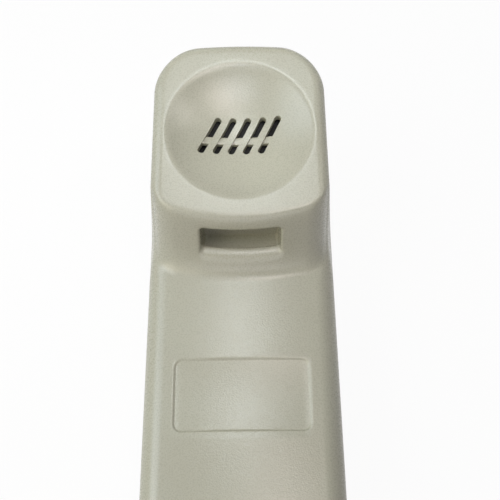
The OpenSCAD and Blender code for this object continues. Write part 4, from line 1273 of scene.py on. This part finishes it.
def hook_pocket():
    x, z, nx, nz = pocket_outline()
    r = HOOK_BROW_R + (HOOK_EDGE_R - HOOK_BROW_R) * smooth(-nz)
    loops = []
    for a in [-1] + list(range(0, 91, 15)):
        turn = math.radians(max(a, 0))
        grow = r * (1 - math.sin(turn)) * (1.0 if a >= 0 else 1.04)
        gx, gz = x + nx * grow, z + nz * grow
        y = skin_y(gx, gz) + r * (1 - math.cos(turn)) * 0.9 - (6.0 if a < 0 else 0.0)
        loops.append([Vector(p) for p in zip(gx, y, gz)])
    inner = np.array([p.y for p in loops[-1]])
    low = 1 - smooth((z - HOOK_FLOOR) / HOOK_CORNER)
    reach = float(inner.mean())
    steps = [(inner + HOOK_SILL * 0.7, 0.0, 0.0), (inner + HOOK_SILL, 0.15, 0.0),
             (inner + HOOK_SILL + 0.1, 1.0, 0.0), (np.full(len(x), HOOK_BACK - 0.4), 1.0, 0.0),
             (np.full(len(x), HOOK_BACK - 0.1), 1.0, 0.12), (np.full(len(x), HOOK_BACK), 1.0, 0.4)]
    for y, dip, ease in steps:
        narrow = 1 - np.maximum(y - reach, 0) * HOOK_TAPER / (HOOK_W / 2)
        gx = (x - nx * ease) * narrow
        loops.append([Vector(p) for p in zip(gx, y, z - nz * ease - HOOK_DIP * dip * low)])
    return loops, [list(range(len(x)))]


def pocket_walls():
    """A block behind the step's skin, whose front face follows the skin one millimetre down."""
    xs = list(np.linspace(-HOOK_W / 2 - WALL, HOOK_W / 2 + WALL, 9))
    loops = []
    for z in np.linspace(HOOK_FLOOR - HOOK_DIP - WALL + 0.3, HOOK_FLOOR + HOOK_TALL + 1.5, 7):
        front = [Vector((x, float(skin_y(np.array(x), np.array(z))) + 1.0, z)) for x in xs]
        back = [Vector((x, HOOK_BACK + WALL, z)) for x in xs[::-1]]
        loops.append(front + back)
    count = len(loops[0])
    walls = Solids()
    walls.loops(loops, [[k, k + 1, count - 2 - k, count - 1 - k] for k in range(count // 2 - 1)])
    return walls.piece()


combine(front_shell, pocket_walls(), "UNION")
pocket_hole = Solids()
pocket_hole.loops(*hook_pocket())
combine(front_shell, pocket_hole.piece(), "DIFFERENCE")

# Label panel: a flat-bottomed sinking on the grip, left bare.
LABEL_W = 34.0
LABEL_L = 18.4
LABEL_Y = END_Y - 94.2
LABEL_R = 2.0
LABEL_DEEP = 0.4


def panel_loop(grow, depth):
    w, l, r = LABEL_W / 2 + grow, LABEL_L / 2 + grow, LABEL_R + grow
    xs = w * np.sin(np.linspace(-math.pi / 2, math.pi / 2, 81))
    over = np.clip(np.abs(xs) - w + r, 0, r)
    reach = l - r + np.sqrt(np.maximum(r * r - over * over, 0))
    crown = GRIP_H - CROWN_R + np.sqrt(CROWN_R ** 2 - xs * xs) - depth
    low = [Vector((x, LABEL_Y - d, z)) for x, d, z in zip(xs, reach, crown)]
    high = [Vector((x, LABEL_Y + d, z)) for x, d, z in zip(xs, reach, crown)]
    return low + high[::-1]


def label_panel():
    loops = [panel_loop(0.45, -1.0), panel_loop(0.4, -0.002), panel_loop(0.22, 0.05),
             panel_loop(0.06, 0.16), panel_loop(-0.1, 0.28), panel_loop(-0.24, 0.37),
             panel_loop(-0.4, LABEL_DEEP)]
    count = len(loops[0])
    caps = [[k, k + 1, count - 2 - k, count - 1 - k] for k in range(count // 2 - 1)]
    return loops, caps


panel = Solids()
panel.loops(*label_panel())
combine(front_shell, panel.piece(), "DIFFERENCE")

# Inside the front shell stand the rings that seat the receiver and the microphone, the bosses for
# the screws, and the jack's ribs. The end wall is cut out for the jack, with an eased edge.
MOUTH_ROOF = float(top_z(0, sum(GUIDE_Y) / 2, WALL)) + 0.6
SCREW_ROOF = float(top_z(SCREW_X, SCREW_Y, WALL)) + 0.6
JACK_GAP = 0.15
WINDOW_EDGE = 0.35


def add_seats(shell):
    outer, inner = Solids(), Solids()
    for solids, place, r, bore, low, high in (
            (outer, EAR.place, 18.55, 17.15, RX_TOP - 2, -3.2), (inner, EAR.place, 16.0, 14.6, -7.4, -4.0),
            (outer, MOUTH.place, 7.9, 6.5, -11.8, -4.0), (inner, MOUTH.place, 7.2, 4.95, -5.8, -4.0)):
        solids.turned([(r, low), (r, high), (bore, high), (bore, low)], 96, place)
    side_x = JACK_W / 2 + JACK_GAP
    for side in (-1, 1):
        outer.round(BOSS_R, SEAM_H, SCREW_ROOF, side * SCREW_X, SCREW_Y)
        x = side * (side_x + RIB_T / 2)
        outer.box((x - RIB_T / 2, GUIDE_Y[0], JACK_Z), (x + RIB_T / 2, GUIDE_Y[1], MOUTH_ROOF))
    middle = sum(GUIDE_Y) / 2
    inner.box((-JACK_W / 2, middle - RIB_T / 2, JACK_Z + JACK_H + JACK_GAP),
              (JACK_W / 2, middle + RIB_T / 2, MOUTH_ROOF))
    combine(shell, outer.piece(), "UNION")
    combine(shell, inner.piece(), "UNION")


def rounded_box(half_x, half_z, r, steps=6, side=8):
    """An outline with its outward directions, for the jack's window."""
    points = []
    for sx, sz, start in ((1, 1, 0), (-1, 1, 90), (-1, -1, 180), (1, -1, 270)):
        for k in range(steps + 1):
            a = math.radians(start + 90 * k / steps)
            points.append((sx * (half_x - r) + r * math.cos(a), sz * (half_z - r) + r * math.sin(a),
                           math.cos(a), math.sin(a)))
    return points


def cut_window(shell):
    skin = BVHTree.FromPolygons([Vector(p) for p in FRONT_POINTS], FRONT_FACES.tolist())
    outline = rounded_box(JACK_W / 2 + JACK_GAP, JACK_H / 2 + JACK_GAP, 0.3)
    loops = []
    for a in range(-15, 91, 15):
        turn = math.radians(max(a, 0))
        grow = WINDOW_EDGE * (1 - math.sin(turn)) * (1.0 if a >= 0 else 1.05)
        sink = WINDOW_EDGE * (1 - math.cos(turn)) if a >= 0 else -3.0
        loop = []
        for x, z, nx, nz in outline:
            gx, gz = x + nx * grow, z + nz * grow + JACK_Z + JACK_H / 2
            hit = skin.ray_cast(Vector((gx, -140.0, gz)), Vector((0, 1, 0)))[0]
            loop.append(Vector((gx, hit.y + sink, gz)))
        loops.append(loop)
    loops.append([Vector((x, 6 - END_Y, z + JACK_Z + JACK_H / 2)) for x, z, nx, nz in outline])
    window = Solids()
    window.loops(loops, [list(range(len(outline)))])
    combine(shell, window.piece(), "DIFFERENCE")
    holes = Solids()
    for side in (-1, 1):
        holes.round(PILOT_R, SEAM_H - 1, SEAM_H + 7, side * SCREW_X, SCREW_Y)
        holes.box((side * TAB_X - TAB_W / 2 - 0.5, TAB_Y + 1.3, SEAM_H + 3.3),
                  (side * TAB_X + TAB_W / 2 + 0.5, TAB_Y + 2.7, SEAM_H + 5.4))
    combine(shell, holes.piece(), "DIFFERENCE")


add_seats(front_shell)
cut_window(front_shell)
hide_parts("front_shell")
smooth_by_angle(front_shell, 30)
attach(front_shell, "root")

# Casing screws
# Two longer screws of the same kind go up the wells in the back, and pull the shells together at
# the mouth end. The tabs hold the other end.
CASING_SCREW_LEN = 12.0
casing_pair = screw_pair("casing_screw_pair", CASING_SCREW_LEN,
                         [(side * SCREW_X, SCREW_Y, SCREW_SEAT) for side in (-1, 1)], True)
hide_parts("casing_screws")


# Table and light
# A white table under the handset, lit as in the photo by eight soft lamps: windows on the left, beyond the ear end
# and in front, a strip overhead, and three small lamps aimed at the ear end.


def white_table():
    finish = Finish("white_table", (0.82, 0.82, 0.82), 0.9)
    path = finish.node("ShaderNodeLightPath")
    seen = Varying(finish, path.outputs["Is Camera Ray"]) + Varying(finish, path.outputs["Is Glossy Ray"])
    seen = seen + Varying(finish, path.outputs["Is Transmission Ray"])
    glow = finish.node("ShaderNodeEmission", None, {"Color": (1, 1, 1, 1), "Strength": 1.0})
    mix = finish.node("ShaderNodeMixShader", None, {
        0: seen * 0.94, 1: finish.surface.outputs[0], 2: glow.outputs[0]})
    out = finish.tree.nodes["Material Output"]
    finish.tree.links.new(mix.outputs[0], out.inputs["Surface"])
    return finish.material


table_mesh = bpy.data.meshes.new("table")
table_mesh.from_pydata([(-3, -3, 0), (3, -3, 0), (3, 3, 0), (-3, 3, 0)], [], [(0, 1, 2, 3)])
table_mesh.materials.append(white_table())
table = bpy.data.objects.new("table", table_mesh)
bpy.context.scene.collection.objects.link(table)


def soft_light(name, place, target, size, watts, color, beam=math.pi):
    """A rectangular lamp that faces a point; beam is the angle that its light keeps within."""
    lamp = bpy.data.lights.new(name, "AREA")
    lamp.shape = "RECTANGLE"
    lamp.size, lamp.size_y = size
    lamp.energy = watts
    lamp.color = color
    lamp.spread = beam
    light = bpy.data.objects.new(name, lamp)
    bpy.context.scene.collection.objects.link(light)
    light.location = place
    light.rotation_euler = (Vector(target) - Vector(place)).to_track_quat("-Z", "Y").to_euler()


soft_light("ceiling_strip", (-0.010, 0.195, 0.47), (-0.010, 0.195, 0.0), (0.035, 0.09), 0.34, (0.92, 0.98, 1.0))
soft_light("left_window", (-0.52, 0.12, 0.52), (0.0, 0.03, 0.02), (0.50, 0.50), 2.1, (0.74, 0.86, 1.0))
soft_light("side_window", (-0.35, -0.12, 0.30), (0.0, 0.05, 0.02), (0.34, 0.34), 0.86, (1.0, 0.92, 0.72))
soft_light("far_window", (0.0, 0.60, 0.50), (0.0, 0.05, 0.02), (0.7, 0.4), 0.88, (1.0, 0.99, 0.84))
soft_light("front_window", (0.0, -0.55, 0.35), (0.0, 0.05, 0.02), (0.6, 0.3), 0.72, (0.94, 0.93, 1.0))
soft_light("right_lamp", (0.08, 0.02, 0.47), (0.0, 0.10, 0.03), (0.10, 0.14), 0.36, (1.0, 0.88, 0.84))
soft_light("ear_lamp", (0.24, 0.14, 0.36), (0.0, 0.105, 0.04), (0.10, 0.10), 0.0038, (1.0, 0.96, 0.90), beam=0.3)
soft_light("dish_panel", (-0.01, -0.04, 0.47), (-0.006, 0.10, 0.03), (0.30, 0.09), 0.018, (0.84, 0.90, 1.0), beam=0.5)


def pale_room():
    """Even room light, which the camera and the reflections see as white."""
    world = bpy.data.worlds.new("room")
    world.use_nodes = True
    room = Nodes(world.node_tree)
    path = room.node("ShaderNodeLightPath")
    seen = Varying(room, path.outputs["Is Camera Ray"]) + Varying(room, path.outputs["Is Glossy Ray"])
    seen = seen + Varying(room, path.outputs["Is Transmission Ray"])
    even = world.node_tree.nodes["Background"]
    even.inputs["Color"].default_value = (1.0, 0.98, 0.94, 1.0)
    even.inputs["Strength"].default_value = ROOM_LIGHT
    white = room.node("ShaderNodeBackground", None, {"Color": (1.0, 1.0, 1.0, 1.0), "Strength": 1.0})
    mix = room.node("ShaderNodeMixShader", None, {0: seen, 1: even.outputs[0], 2: white.outputs[0]})
    room.tree.links.new(mix.outputs[0], room.tree.nodes["World Output"].inputs["Surface"])
    return world


ROOM_LIGHT = 0.01
bpy.context.scene.world = pale_room()

# Camera
# It looks down on the ear end from over the mouth end, tipped a little, as the photo was taken.
camera_data = bpy.data.cameras.new("camera")
camera_data.lens = 64.8
camera_data.sensor_width = 36.0
camera_data.clip_start = 0.01
camera = bpy.data.objects.new("camera", camera_data)
bpy.context.scene.collection.objects.link(camera)
camera.location = (0.0024, -0.0542, 0.2403)
camera.rotation_euler = (Matrix.Rotation(math.radians(26.4), 4, "X")
                         @ Matrix.Rotation(math.radians(-0.66), 4, "Z")).to_euler()
bpy.context.scene.camera = camera
bpy.context.scene.view_settings.view_transform = "Standard"
